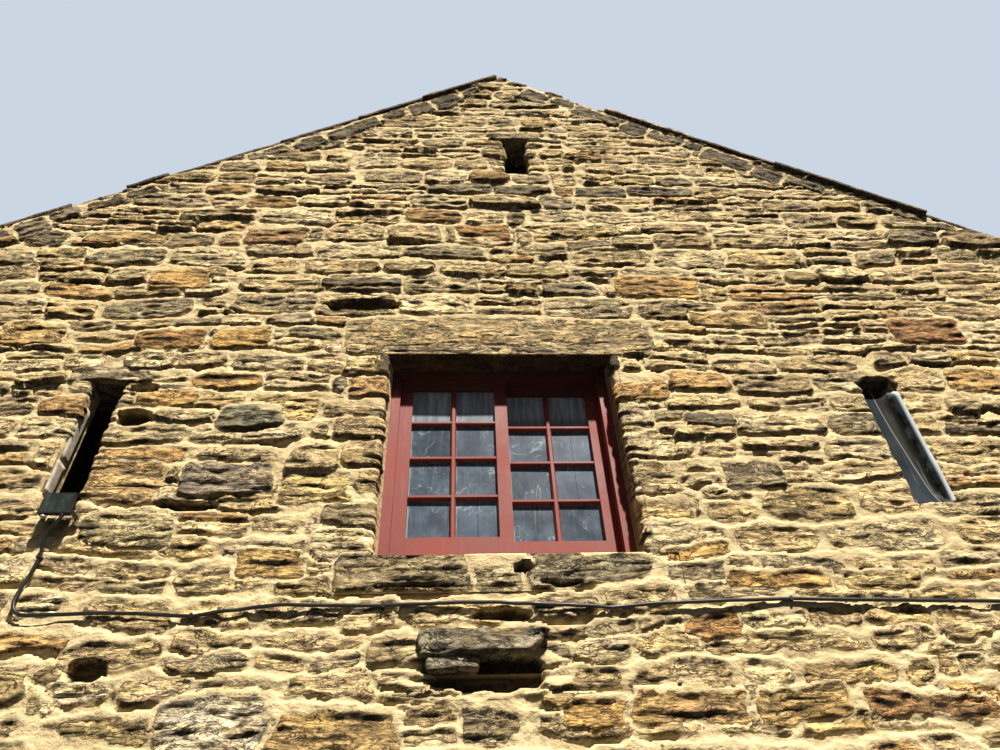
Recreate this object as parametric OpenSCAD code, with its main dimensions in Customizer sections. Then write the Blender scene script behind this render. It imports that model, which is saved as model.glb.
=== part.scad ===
// Stone watermill building: two storeys and a loft in coursed rubble, under a stone slate roof.
// The front gable faces -Y, X runs to the right along it and Z is up. The ground is at Z = 0.

/* [Building] */
// Width of the gable between its outer faces
building_w = 7600; // [7400:50:8200]
// Length of the building between the outer faces of its gables
building_l = 9600; // [9200:50:11000]
// Thickness of the rubble walls
wall_t = 550; // [500:10:600]
// Height of the side walls' outer edge, where the slates start
eaves_h = 5370; // [5300:10:5600]
// Slope of the roof in degrees
roof_pitch = 35; // [33:0.5:38]

/* [Floors] */
// Thickness of the ground floor's flagstones
flag_t = 80; // [60:5:100]
// Height of the upper floor's boards above the ground
upper_floor_z = 2600; // [2560:10:2700]
// Thickness of the floorboards
board_t = 32; // [25:1:40]
// Height of a joist
joist_h = 150; // [120:5:180]
// Width of a joist
joist_w = 75; // [50:5:100]
// Number of joists across the building
joist_count = 13; // [9:1:17]
// Height of a floor beam
beam_h = 300; // [240:10:320]
// Width of a floor beam and of a roof truss
beam_w = 250; // [200:10:300]
// Length of a timber's end that is built into a wall
bearing = 200; // [150:10:240]

/* [Roof timbers] */
// Underside of the trusses' tie beams
tie_z = 4950; // [4900:10:5000]
// Height of a tie beam
tie_h = 250; // [200:10:260]
// Depth of a truss's sloping principals
principal_h = 180; // [150:10:200]
// Width of the king posts
king_w = 200; // [150:10:240]
// Width of the trusses' struts
strut_w = 110; // [80:5:140]
// Depth of a purlin
purlin_h = 180; // [150:10:200]
// Width of a purlin along the slope
purlin_w = 150; // [120:10:180]
// Depth of a rafter
rafter_h = 100; // [80:5:120]
// Width of a rafter
rafter_w = 75; // [50:5:90]
// Number of rafters on each slope
rafter_count = 18; // [14:1:22]
// Width of the ridge beam
ridge_beam_w = 60; // [50:5:80]
// Height of the ridge beam
ridge_beam_h = 220; // [180:10:260]
// Width of a wall plate
plate_w = 100; // [80:5:110]
// Height of a wall plate
plate_h = 75; // [60:5:90]

/* [Roof covering] */
// Number of slate courses on each slope
course_count = 14; // [10:1:18]
// Share by which the courses grow towards the eaves and shrink towards the ridge
course_taper = 0.35; // [0.1:0.05:0.5]
// Depth of the slates at the lower edge of a course
slate_low_t = 66; // [55:1:80]
// Depth of the slates where the next course starts
slate_high_t = 36; // [30:1:45]
// Reach of the slates beyond the side walls
eaves_reach = 120; // [80:10:180]
// Reach of the slates beyond the gables
verge_reach = 45; // [20:5:80]
// Width of a ridge stone's wing along the slope
ridge_wing = 190; // [160:5:205]
// Thickness of a ridge stone
ridge_stone_t = 42; // [30:2:60]
// Number of ridge stones
ridge_stone_count = 15; // [10:1:20]
// Mortar joint between two ridge stones
ridge_joint = 8; // [5:1:15]

/* [Windows] */
// Width of a window frame
window_w = 1210; // [1100:10:1260]
// Height of a window frame
window_h = 1240; // [1150:10:1260]
// Height of the upper windows' frames above the ground
upper_window_z = 3345; // [3300:5:3360]
// Height of the lower windows' frames above the ground
lower_window_z = 950; // [900:10:980]
// Depth of a window frame behind the wall's face
reveal = 125; // [90:5:140]
// Width that the opening gains on each side, from the frame to the wall's face
splay = 22; // [10:1:30]
// Depth of a frame from front to back
frame_t = 125; // [122:1:140]
// Width of a frame's jambs
jamb_w = 55; // [45:1:70]
// Height of a frame's head
frame_head_h = 60; // [50:1:75]
// Height of a frame's sill
frame_sill_h = 70; // [60:1:85]
// Height of the slope on a frame's sill
sill_fall = 12; // [6:1:18]
// Distance from a frame's face to its front sash
sash_setback = 25; // [15:1:30]
// Thickness of a sash
sash_t = 42; // [38:1:44]
// Gap that lets one sash slide behind the other
sash_gap = 3; // [2:0.5:5]
// Width of a sash's stiles
stile_w = 67; // [55:1:80]
// Height of a sash's top rail
top_rail_h = 60; // [50:1:75]
// Height of a sash's bottom rail
bottom_rail_h = 95; // [80:1:110]
// Thickness of the glass
glass_t = 4; // [3:0.5:6]
// Depth of the rebate that holds the glass
glass_rebate = 10; // [8:1:14]
// Position of the gable window to the side of the centreline
gable_window_x = -125; // [-160:10:160]

/* [Slits and vent] */
// Width of a slit at the wall's face
slit_w = 190; // [180:5:240]
// Width of a slit at the inner face
slit_inner_w = 520; // [400:10:560]
// Depth over which a slit keeps its outer width
slit_throat = 100; // [80:5:140]
// Height of a slit
slit_h = 800; // [780:10:850]
// Bottom of the slits above the ground
slit_z = 3575; // [3540:5:3600]
// Distance of the slits from the gable window's centre
slit_spread = 2060; // [1900:5:2100]
// Depth of the right slit's glass behind the wall's face
slit_glass_y = 60; // [40:5:70]
// Thickness of the right slit's glass
slit_glass_t = 6; // [4:1:8]
// Width of the loft's vent
vent_w = 195; // [160:5:220]
// Height of the loft's vent
vent_h = 490; // [400:10:500]
// Bottom of the vent above the ground
vent_z = 6460; // [6400:10:6500]
// Position of the vent to the side of the centreline
vent_x = 67; // [-100:1:100]

/* [Stone dressings] */
// Height of the front gable's window lintel
front_lintel_h = 290; // [240:10:300]
// Height of the other lintels
lintel_h = 230; // [200:10:250]
// Length of a stone lintel's bearing on each side of its opening
lintel_bearing = 265; // [150:5:280]
// Depth of the stone lintels into the wall
lintel_t = 250; // [220:5:260]
// Reach of the lintels and sills beyond the wall's face
dressing_reach = 10; // [5:1:20]
// Height of the timber lintels behind the stone ones
timber_lintel_h = 180; // [150:10:200]
// Thickness of a window's stone sill
sill_t = 200; // [150:10:220]
// Length of a sill's bearing on each side of its opening
sill_bearing = 150; // [100:10:200]
// Fall of a stone sill from the frame to its outer edge
sill_slope = 22; // [10:1:30]
// Diameter of the drain channel in the front sill
sill_channel_d = 70; // [50:5:90]
// Position of the drain channel to the side of the window's centre
sill_channel_x = 56; // [-200:1:200]
// Height of the head stones over the slits
slit_head_h = 105; // [80:5:130]
// Length of the head stones over the slits
slit_head_l = 430; // [360:10:500]
// Height of the head stone over the vent
vent_head_h = 85; // [70:5:120]
// Length of the head stone over the vent
vent_head_l = 420; // [340:10:500]
// Depth of the slits' and vent's head stones into the wall
head_stone_t = 260; // [200:10:300]
// Width of the corbel stone under the front window
corbel_w = 530; // [460:10:600]
// Height of the corbel stone
corbel_h = 170; // [140:5:190]
// Reach of the corbel stone beyond the wall's face
corbel_reach = 75; // [50:5:90]
// Depth of the corbel stone into the wall
corbel_bed = 260; // [200:10:300]
// Share of the corbel stone's height taken by the lip under it
corbel_lip_share = 0.34; // [0.2:0.02:0.4]
// Share of the corbel stone's width that the lip runs along
corbel_lip_length = 0.48; // [0.3:0.02:0.6]
// Centre of the corbel stone to the side of the centreline
corbel_x = -250; // [-300:10:-100]
// Underside of the corbel stone above the ground
corbel_z = 2795; // [2780:5:2840]

/* [Door] */
// Width of the doorway
door_w = 1100; // [1000:10:1150]
// Top of the doorway above the ground
door_top = 2190; // [2100:10:2200]
// Width of the door frame's jambs and head
door_jamb_w = 75; // [60:5:90]
// Depth of the door frame from front to back
door_frame_t = 110; // [90:5:120]
// Depth of the door frame behind the wall's face
door_reveal = 160; // [120:10:200]
// Thickness of the door's boards
door_board_t = 30; // [25:1:36]
// Thickness of the door's ledges
door_ledge_t = 28; // [22:1:34]
// Height of a door ledge
door_ledge_h = 150; // [120:5:180]
// Gap round the door leaf
door_gap = 4; // [2:0.5:6]
// Width of the door frame's stop
door_stop = 15; // [12:1:20]
// Length of the door's strap hinges
strap_l = 650; // [500:10:800]
// Height of the strap hinges
strap_h = 45; // [35:1:60]
// Thickness of the strap hinges
strap_t = 5; // [4:0.5:8]
// Height of the door handle above the ground
handle_z = 1080; // [1000:10:1150]

// Distance from the leaf's edge to the middle of the door handle
handle_inset = 90; // [70:1:120]
// Diameter of the handle's round plate
handle_plate_d = 70; // [56:1:90]
// Reach of the handle's stem in front of the boards
handle_stem_l = 30; // [24:1:40]
// Diameter of the handle's stem
handle_stem_d = 16; // [12:1:20]
// Diameter of the handle's ring to the middle of its bar
ring_d = 64; // [50:1:80]
// Thickness of the ring's bar
ring_t = 12; // [10:1:14]

/* [Floodlight] */
// Width of the floodlight's housing
lamp_w = 135; // [110:5:150]
// Height of the floodlight's housing
lamp_h = 105; // [90:5:120]
// Depth of the floodlight's housing
lamp_t = 40; // [32:2:50]
// Width of the housing's rim round its glass
lamp_rim = 9; // [7:1:12]
// Thickness of the floodlight's glass
lamp_glass_t = 4; // [3:0.5:6]
// Thickness of a cooling fin
lamp_fin_t = 3; // [2:0.5:5]
// Height of the cable gland under the housing
gland_h = 10; // [8:1:14]
// Diameter of the cable gland
gland_d = 20; // [18:1:24]
// Distance of the gland's axis from the housing's side
gland_inset = 29; // [20:1:40]
// Distance from the wall's face to the back of the housing
lamp_standoff = 48; // [40:2:60]
// Thickness of the bracket's strip
lamp_strip_t = 4; // [3:0.5:6]
// Width of the bracket's strip
lamp_strip_w = 24; // [18:1:30]
// Drop of the bracket's strip below the middle of the housing
lamp_strip_drop = 36; // [34:1:40]
// Centre of the floodlight to the side of the centreline
lamp_x = -2130; // [-2200:5:-2100]
// Centre of the floodlight above the ground
lamp_z = 3562; // [3550:5:3585]
// Diameter of the floodlight's cable
cable_d = 16; // [12:1:18]
// Width of a cable clip
clip_w = 12; // [10:1:18]
// Thickness of a cable clip round the cable
clip_t = 2; // [1.5:0.5:4]

/* [Hidden] */
cut = 1;
inner_w = building_w - 2 * wall_t;
inner_l = building_l - 2 * wall_t;
bay_l = inner_l / 3;
side_window_x = bay_l;
bay_y = [-bay_l / 2, bay_l / 2];
floor_beam_y = concat(bay_y, [-inner_l / 2 + beam_w / 2, inner_l / 2 - beam_w / 2]);
beam_top = upper_floor_z - board_t - joist_h;
sash_w = (window_w - 2 * jamb_w + stile_w) / 2;
sash_h = window_h - frame_head_h - frame_sill_h;
pane_cut_w = sash_w - 2 * (stile_w - glass_rebate);
pane_cut_h = sash_h - top_rail_h - bottom_rail_h + 2 * glass_rebate;
slates_l = building_l + 2 * verge_reach;
slope_run = building_w / 2 + eaves_reach;
slope_l = slope_run / cos(roof_pitch);
side_windows = [for (x = [-side_window_x, side_window_x], z = [lower_window_z, upper_window_z]) [x, z]];
plate_top = roof_z(inner_w / 2, rafter_h);
plate_out = inner_w / 2 + plate_w;
ridge_beam_top = roof_z(ridge_beam_w / 2);
purlin_run = building_w / 4;
door_leaf_w = door_w - 2 * door_jamb_w - 2 * door_gap;
door_leaf_h = door_top - flag_t - door_jamb_w - 2 * door_gap;
lamp_y = -lamp_standoff - lamp_t;
// The cable's route on the front gable: X, distance in front of the wall and Z of each point.
cable_route = [
    [-2092, 77, 3500], [-2094, 77, 3484], [-2108, 70, 3462], [-2132, 57, 3440], [-2144, 42, 3400],
    [-2140, 28, 3340], [-2140, 28, 3308], [-2150, 26, 3230], [-2162, 28, 3165], [-2160, 32, 3110],
    [-2140, 34, 3074], [-2100, 34, 3058], [-1960, 28, 3062], [-1811, 24, 3068], [-1632, 28, 3060],
    [-1455, 22, 3048], [-1425, 22, 3048], [-1315, 26, 3062], [-1188, 30, 3079], [-1083, 34, 3087],
    [-929, 30, 3084], [-682, 22, 3082], [-652, 22, 3082], [-352, 28, 3089], [-181, 32, 3085],
    [-47, 30, 3073], [154, 26, 3065], [274, 22, 3056], [304, 22, 3056], [395, 28, 3064],
    [488, 34, 3068], [763, 36, 3075], [1049, 24, 3084], [1079, 24, 3084], [1320, 30, 3073],
    [1972, 28, 3056], [2500, 26, 3062], [3100, 26, 3064], [3280, 20, 3068], [3300, 0, 3069]
];

// The stretches of the route that carry a clip, counted from its first point
clip_places = [5, 15, 21, 27, 32, 35, 36];

// Height of the roof plane under the slates at a distance from the centreline, less a depth square to it
function roof_z(run, depth = 0) =
    eaves_h + (building_w / 2 - run) * tan(roof_pitch) - depth / cos(roof_pitch);
// A point of the left slope's section, lifted square to the roof plane
function slope_pt(run, lift) =
    [-run - lift * sin(roof_pitch), roof_z(run) + lift * cos(roof_pitch)];
// Share of the slope below the lower edge of a course
function course_share(i) = i / course_count * (1 + course_taper * (1 - i / course_count));
function course_run(i) = slope_run * (1 - course_share(i));

// A section in X and Z, drawn out along Y about the building's middle
module along_y(length) translate([0, length / 2, 0]) rotate([90, 0, 0]) linear_extrude(length) children();
module both_slopes() { children(); mirror([1, 0, 0]) children(); }

// Places for the four walls: X runs to the right as seen from outside and Y goes into the wall
module at_front() translate([0, -building_l / 2, 0]) children();
module at_back() rotate([0, 0, 180]) at_front() children();
module at_left() rotate([0, 0, -90]) translate([0, -building_w / 2, 0]) children();
module at_right() rotate([0, 0, 90]) translate([0, -building_w / 2, 0]) children();

// A block given by its middle in X, its front in Y and its bottom in Z
module block(x, y, z, w, t, h) translate([x - w / 2, y, z]) cube([w, t, h]);

// Opening for a window, with reveals that widen towards the face
module window_cut(x, z)
    translate([x, 0, z]) linear_extrude(window_h) polygon([
        [-window_w / 2 - splay - cut * splay / reveal, -cut],
        [window_w / 2 + splay + cut * splay / reveal, -cut],
        [window_w / 2, reveal], [window_w / 2, wall_t + cut],
        [-window_w / 2, wall_t + cut], [-window_w / 2, reveal]
    ]);

// Pocket for a stone lintel with its timber lintel behind, over an opening
module lintel_cut(x, z, w, h) {
    block(x, -cut, z, w + 2 * lintel_bearing, lintel_t + cut, h);
    block(x, lintel_t - cut, z, w + 2 * lintel_bearing, wall_t - lintel_t + 2 * cut, timber_lintel_h);
}

// Stone lintel, its face slightly proud of the wall
module stone_lintel(x, z, w, h)
    block(x, -dressing_reach, z, w + 2 * lintel_bearing, lintel_t + dressing_reach, h);
module timber_lintel(x, z, w)
    block(x, lintel_t, z, w + 2 * lintel_bearing, wall_t - lintel_t, timber_lintel_h);

// Stone sill: its ends run under the wall, and between the jambs it is weathered from the frame outwards
module stone_sill(x, z) {
    block(x, -dressing_reach, z - sill_t, window_w + 2 * sill_bearing, reveal + frame_t + dressing_reach,
        sill_t - sill_slope);
    translate([x - window_w / 2, 0, z]) rotate([90, 0, 90]) linear_extrude(window_w) polygon([
        [-dressing_reach, -sill_slope], [reveal + frame_t, -sill_slope], [reveal + frame_t, 0], [reveal, 0]
    ]);
}
module sill_cut(x, z) {
    block(x, -cut, z - sill_t, window_w + 2 * sill_bearing, reveal + frame_t + cut, sill_t - sill_slope);
    block(x, -cut, z - sill_slope - cut, window_w, reveal + frame_t + cut, sill_slope + 2 * cut);
}

// Slit with a straight throat and jambs that splay inwards
module slit_cut(x)
    translate([x, 0, slit_z]) linear_extrude(slit_h) polygon([
        [-slit_w / 2, -cut], [slit_w / 2, -cut],
        [slit_w / 2, slit_throat], [slit_inner_w / 2, wall_t + cut],
        [-slit_inner_w / 2, wall_t + cut], [-slit_w / 2, slit_throat]
    ]);
module slit_head(x)
    block(x, -dressing_reach, slit_z + slit_h, slit_head_l, head_stone_t + dressing_reach, slit_head_h);
module slit_head_cut(x) block(x, -cut, slit_z + slit_h, slit_head_l, head_stone_t + cut, slit_head_h);
module vent_head()
    block(vent_x, -dressing_reach, vent_z + vent_h,
        vent_head_l, head_stone_t + dressing_reach, vent_head_h);

// Gable wall with its openings and the pockets of its timbers and dressings
module gable_wall(lintel_height) {
    window_x = gable_window_x;
    difference() {
        translate([0, wall_t, 0]) rotate([90, 0, 0]) linear_extrude(wall_t) polygon([
            [-building_w / 2, 0], [building_w / 2, 0], [building_w / 2, eaves_h],
            [0, roof_z(0)], [-building_w / 2, eaves_h]
        ]);
        window_cut(window_x, upper_window_z);
        lintel_cut(window_x, upper_window_z + window_h, window_w, lintel_height);
        sill_cut(window_x, upper_window_z);
        for (side = [-1, 1]) {
            slit_cut(window_x + side * slit_spread);
            slit_head_cut(window_x + side * slit_spread);
        }
        block(vent_x, -cut, vent_z, vent_w, wall_t + 2 * cut, vent_h);
        block(vent_x, -cut, vent_z + vent_h, vent_head_l, head_stone_t + cut, vent_head_h);
        translate([0, wall_t + building_l / 2, 0])
            along_y(building_l + 2 * (wall_t - bearing)) timber_sections();
    }
}
// The timbers that run from gable to gable and bear in its pockets
module timber_sections() {
    both_slopes() purlin_section();
    ridge_beam_section();
}

module front_gable_wall() color("tan") at_front() difference() {
    gable_wall(front_lintel_h);
    block(corbel_x, -cut, corbel_z, corbel_w, corbel_bed + cut, corbel_h);
}
module back_gable_wall() color("tan") at_back() gable_wall(lintel_h);

// Section of a side wall: its head follows the slates, with a ledge inside for the wall plate
module side_wall_section() polygon([
    [-building_w / 2, 0], [-inner_w / 2, 0], [-inner_w / 2, plate_top - plate_h],
    [-plate_out, plate_top - plate_h], [-plate_out, roof_z(plate_out)], [-building_w / 2, eaves_h]
]);
module side_wall_body() difference() {
    along_y(inner_l) side_wall_section();
    for (y = floor_beam_y)
        translate([-inner_w / 2 - bearing, y - beam_w / 2, beam_top - beam_h])
            cube([bearing + cut, beam_w, beam_h]);
    for (y = bay_y)
        translate([-inner_w / 2 - bearing, y - beam_w / 2, tie_z]) cube([bearing + cut, beam_w, tie_h]);
}
module side_opening(x, z) {
    window_cut(x, z);
    lintel_cut(x, z + window_h, window_w, lintel_h);
    sill_cut(x, z);
}
module left_side_wall() color("tan") difference() {
    side_wall_body();
    at_left() {
        for (p = side_windows) side_opening(p[0], p[1]);
        block(0, -cut, -cut, door_w, wall_t + 2 * cut, door_top + cut);
        lintel_cut(0, door_top, door_w, lintel_h);
    }
}
module right_side_wall() color("tan") difference() {
    mirror([1, 0, 0]) side_wall_body();
    at_right() for (p = side_windows) side_opening(p[0], p[1]);
}

module ground_floor() color("gray")
    translate([-inner_w / 2, -inner_l / 2, 0]) cube([inner_w, inner_l, flag_t]);
module floor_beams() color("saddlebrown") for (y = floor_beam_y)
    translate([-inner_w / 2 - bearing, y - beam_w / 2, beam_top - beam_h])
        cube([inner_w + 2 * bearing, beam_w, beam_h]);
module floor_joists() color("burlywood") for (i = [0 : joist_count - 1])
    translate([(inner_w - joist_w) * ((i + 0.5) / joist_count - 0.5) - joist_w / 2, -inner_l / 2, beam_top])
        cube([joist_w, inner_l, joist_h]);
module upper_floor() color("burlywood")
    translate([-inner_w / 2, -inner_l / 2, upper_floor_z - board_t]) cube([inner_w, inner_l, board_t]);

module plate_section() translate([-plate_out, plate_top - plate_h]) square([plate_w, plate_h]);
module wall_plates() color("burlywood") both_slopes() along_y(inner_l) plate_section();

module purlin_section() polygon([
    slope_pt(purlin_run + purlin_w / 2 * cos(roof_pitch), -rafter_h),
    slope_pt(purlin_run - purlin_w / 2 * cos(roof_pitch), -rafter_h),
    slope_pt(purlin_run - purlin_w / 2 * cos(roof_pitch), -rafter_h - purlin_h),
    slope_pt(purlin_run + purlin_w / 2 * cos(roof_pitch), -rafter_h - purlin_h)
]);
module purlins() color("saddlebrown") both_slopes() along_y(inner_l + 2 * bearing) purlin_section();

module ridge_beam_section()
    translate([-ridge_beam_w / 2, ridge_beam_top - ridge_beam_h]) square([ridge_beam_w, ridge_beam_h]);
module ridge_beam() color("saddlebrown") along_y(inner_l + 2 * bearing) ridge_beam_section();

// Rafter from the wall plate to the ridge beam, notched over the plate
module rafter_section() difference() {
    polygon([
        [-plate_out, roof_z(plate_out, rafter_h)], [-ridge_beam_w / 2, roof_z(ridge_beam_w / 2, rafter_h)],
        [-ridge_beam_w / 2, roof_z(ridge_beam_w / 2)], [-plate_out, roof_z(plate_out)]
    ]);
    translate([-plate_out - cut, plate_top - plate_h - rafter_h])
        square([plate_w + cut, plate_h + rafter_h]);
}
module rafters() color("burlywood") both_slopes() for (i = [0 : rafter_count - 1])
    translate([0, (inner_l - rafter_w) * (i / (rafter_count - 1) - 0.5), 0])
        along_y(rafter_w) rafter_section();

// King post truss: tie beam, principals under the purlins, king post and two struts
module truss_section() {
    deep = rafter_h + purlin_h;
    king_top = ridge_beam_top - ridge_beam_h;
    translate([-inner_w / 2 - bearing, tie_z]) square([inner_w + 2 * bearing, tie_h]);
    translate([-king_w / 2, tie_z]) square([king_w, king_top - tie_z]);
    both_slopes() {
        intersection() {
            polygon([
                [-inner_w / 2, roof_z(inner_w / 2, deep)], [0, roof_z(0, deep)],
                [0, roof_z(0, deep + principal_h)], [-inner_w / 2, roof_z(inner_w / 2, deep + principal_h)]
            ]);
            translate([-inner_w / 2, tie_z]) square([inner_w / 2, king_top - tie_z]);
        }
        polygon([
            [0, tie_z + tie_h], [0, tie_z + tie_h + strut_w * 1.4],
            [-purlin_run, roof_z(purlin_run, deep + principal_h / 2)],
            [-purlin_run - strut_w, roof_z(purlin_run + strut_w, deep + principal_h / 2)]
        ]);
    }
}
module roof_trusses() color("saddlebrown")
    for (y = bay_y) translate([0, y, 0]) along_y(beam_w) truss_section();

// Section of a slope of slates: each course lies on the one below and they shrink towards the ridge
module slates_section() polygon(concat(
    [[0, roof_z(0)], slope_pt(slope_run, 0)],
    [for (i = [0 : course_count - 1]) each [
        slope_pt(course_run(i), slate_low_t),
        i < course_count - 1
            ? slope_pt(course_run(i + 1), slate_high_t)
            : [0, roof_z(0) + slate_high_t / cos(roof_pitch)]
    ]]
));
module left_roof_slates() color("dimgray") along_y(slates_l) slates_section();
module right_roof_slates() color("dimgray") mirror([1, 0, 0]) left_roof_slates();

// Ridge stones: angled capping bedded on the two top courses
module ridge_stones() {
    low = slope_pt(course_run(course_count - 1), slate_low_t);
    top = [0, roof_z(0) + slate_high_t / cos(roof_pitch)];
    wing = ridge_wing / norm(top - low);
    foot = top + (low - top) * wing;
    fall = (top[1] - foot[1]) / (top[0] - foot[0]);
    lift = ridge_stone_t * sqrt(1 + fall * fall);
    pitch_l = slates_l / ridge_stone_count;
    color("gray") for (i = [0 : ridge_stone_count - 1])
        translate([0, pitch_l * (i + 0.5) - slates_l / 2, 0]) along_y(pitch_l - ridge_joint) polygon([
            foot, top, [-foot[0], foot[1]], [-foot[0], foot[1] + lift], top + [0, lift], foot + [0, lift]
        ]);
}

module front_window_lintel() color("darkkhaki") at_front()
    stone_lintel(gable_window_x, upper_window_z + window_h, window_w, front_lintel_h);

// The front sill has a round drain channel cut in its top
module front_window_sill() color("darkkhaki") at_front() difference() {
    stone_sill(gable_window_x, upper_window_z);
    translate([gable_window_x + sill_channel_x, reveal, upper_window_z])
        rotate([90, 0, 0]) cylinder(h = reveal + 2 * dressing_reach, d = sill_channel_d, $fn = 48);
}

// Timber frame of a sliding sash window, with a weathered sill
module window_frame(x, z) translate([x - window_w / 2, reveal, z]) difference() {
    cube([window_w, frame_t, window_h]);
    translate([jamb_w, -cut, frame_sill_h]) cube([window_w - 2 * jamb_w, frame_t + 2 * cut, sash_h]);
    translate([jamb_w, 0, frame_sill_h]) rotate([90, 0, 90]) linear_extrude(window_w - 2 * jamb_w)
        polygon([
            [-cut, cut], [-cut, -sill_fall], [0, -sill_fall], [sash_setback, 0], [sash_setback, cut]
        ]);
}
// One sash: two stiles and two rails, with a rebate behind for the glass
module sash(x, z, y) translate([x, reveal + y, z + frame_sill_h]) difference() {
    cube([sash_w, sash_t, sash_h]);
    translate([stile_w, -cut, bottom_rail_h])
        cube([sash_w - 2 * stile_w, sash_t + 2 * cut, sash_h - top_rail_h - bottom_rail_h]);
    translate([stile_w - glass_rebate, sash_t / 2, bottom_rail_h - glass_rebate])
        cube([pane_cut_w, glass_t, pane_cut_h]);
}
module sash_glass(x, z, y) {
    pane_z = z + frame_sill_h + bottom_rail_h - glass_rebate;
    translate([x + stile_w - glass_rebate, reveal + y + sash_t / 2, pane_z])
        cube([pane_cut_w, glass_t, pane_cut_h]);
}
// The left sash stands in front, and the right one slides behind it
module left_sash(x, z) sash(x - window_w / 2 + jamb_w, z, sash_setback);
module right_sash(x, z) sash(x + window_w / 2 - jamb_w - sash_w, z, sash_setback + sash_t + sash_gap);
module left_pane(x, z) sash_glass(x - window_w / 2 + jamb_w, z, sash_setback);
module right_pane(x, z)
    sash_glass(x + window_w / 2 - jamb_w - sash_w, z, sash_setback + sash_t + sash_gap);

module front_window_frame() color("firebrick") at_front() window_frame(gable_window_x, upper_window_z);
module front_window_left_sash() color("firebrick") at_front() left_sash(gable_window_x, upper_window_z);
module front_window_right_sash() color("firebrick") at_front() right_sash(gable_window_x, upper_window_z);
module front_window_left_glass() color("slategray") at_front()
    left_pane(gable_window_x, upper_window_z);
module front_window_right_glass() color("slategray") at_front()
    right_pane(gable_window_x, upper_window_z);

module front_head_stones() color("darkkhaki") at_front() {
    for (side = [-1, 1]) slit_head(gable_window_x + side * slit_spread);
    vent_head();
}
module right_slit_glass() color("lightsteelblue") at_front()
    block(gable_window_x + slit_spread, slit_glass_y, slit_z, slit_w, slit_glass_t, slit_h);

// Corbel stone: its nose is broken, and a lower lip is left under its left part
module corbel_section(low) polygon([
    [corbel_bed, low], [corbel_bed, corbel_h], [0, corbel_h], [-corbel_reach * 0.8, corbel_h * 0.92],
    [-corbel_reach, corbel_h * 0.6], [-corbel_reach * 0.9, low + corbel_h * 0.08],
    [-corbel_reach * 0.6, low]
]);
module corbel_stone() color("dimgray") at_front() translate([corbel_x - corbel_w / 2, 0, corbel_z]) {
    rotate([90, 0, 90]) linear_extrude(corbel_w) corbel_section(corbel_h * corbel_lip_share);
    translate([corbel_w * 0.06, 0, 0])
        rotate([90, 0, 90]) linear_extrude(corbel_w * corbel_lip_length) corbel_section(0);
}

// Floodlight: a die-cast housing with fins behind, glass in its rim, and a bent strip that holds it
module lamp_place() at_front() translate([lamp_x, lamp_y, lamp_z]) children();
module floodlight_housing() color("black") lamp_place() {
    difference() {
        union() {
            translate([-lamp_w / 2, 0, -lamp_h / 2]) cube([lamp_w, lamp_t * 0.55, lamp_h]);
            for (i = [-4 : 4]) translate([i * lamp_w / 10 - lamp_fin_t / 2, lamp_t * 0.5, -lamp_h * 0.42])
                cube([lamp_fin_t, lamp_t * 0.5, lamp_h * 0.84]);
            translate([0, lamp_t * 0.5, 0]) rotate([-90, 0, 0])
                cylinder(h = lamp_t * 0.5, r = lamp_h * 0.24, $fn = 48);
        }
        translate([-lamp_w / 2 + lamp_rim, -cut, -lamp_h / 2 + lamp_rim])
            cube([lamp_w - 2 * lamp_rim, lamp_glass_t + cut, lamp_h - 2 * lamp_rim]);
    }
    translate([lamp_w / 2 - gland_inset, lamp_t * 0.27, -lamp_h / 2 - gland_h])
        cylinder(h = gland_h, d = gland_d, $fn = 32);
}
module floodlight_glass() color("slategray") lamp_place()
    translate([-lamp_w / 2 + lamp_rim, 0, -lamp_h / 2 + lamp_rim])
        cube([lamp_w - 2 * lamp_rim, lamp_glass_t, lamp_h - 2 * lamp_rim]);
// The strip runs from the wall forwards to the housing's two sides
module floodlight_bracket() color("black") lamp_place() {
    reach = lamp_standoff + lamp_t;
    translate([0, 0, -lamp_strip_drop - lamp_strip_w / 2]) {
        for (side = [-1, 1])
            translate([side * (lamp_w + lamp_strip_t) / 2 - lamp_strip_t / 2, lamp_t * 0.1, 0])
                cube([lamp_strip_t, reach - lamp_t * 0.1, lamp_strip_w]);
        translate([-lamp_w / 2 - lamp_strip_t, reach - lamp_strip_t, 0])
            cube([lamp_w + 2 * lamp_strip_t, lamp_strip_t, lamp_strip_w]);
    }
}

// A round tube swept along a route, each ring square to the route
function route_dir(p, i) = let (
        a = p[max(i - 1, 0)], b = p[min(i + 1, len(p) - 1)]
    ) (b - a) / norm(b - a);
function ring(centre, dir, r, sides) = let (
        first = cross(dir, [0, 1, 0]) / norm(cross(dir, [0, 1, 0])), second = cross(dir, first)
    ) [for (k = [0 : sides - 1]) centre + r * (cos(360 * k / sides) * first + sin(360 * k / sides) * second)];
module tube(route, r, sides) {
    rings = [for (i = [0 : len(route) - 1]) ring(route[i], route_dir(route, i), r, sides)];
    last = (len(route) - 1) * sides;
    polyhedron(
        points = [for (points = rings) each points],
        faces = concat(
            [[for (k = [0 : sides - 1]) k]],
            [[for (k = [0 : sides - 1]) last + sides - 1 - k]],
            [for (i = [0 : len(route) - 2], k = [0 : sides - 1]) let (n = (k + 1) % sides)
                [i * sides + k, (i + 1) * sides + k, (i + 1) * sides + n, i * sides + n]]
        )
    );
}
module floodlight_cable() color("black") at_front()
    tube([for (p = cable_route) [p[0], -p[1], p[2]]], cable_d / 2, 10);

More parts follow.
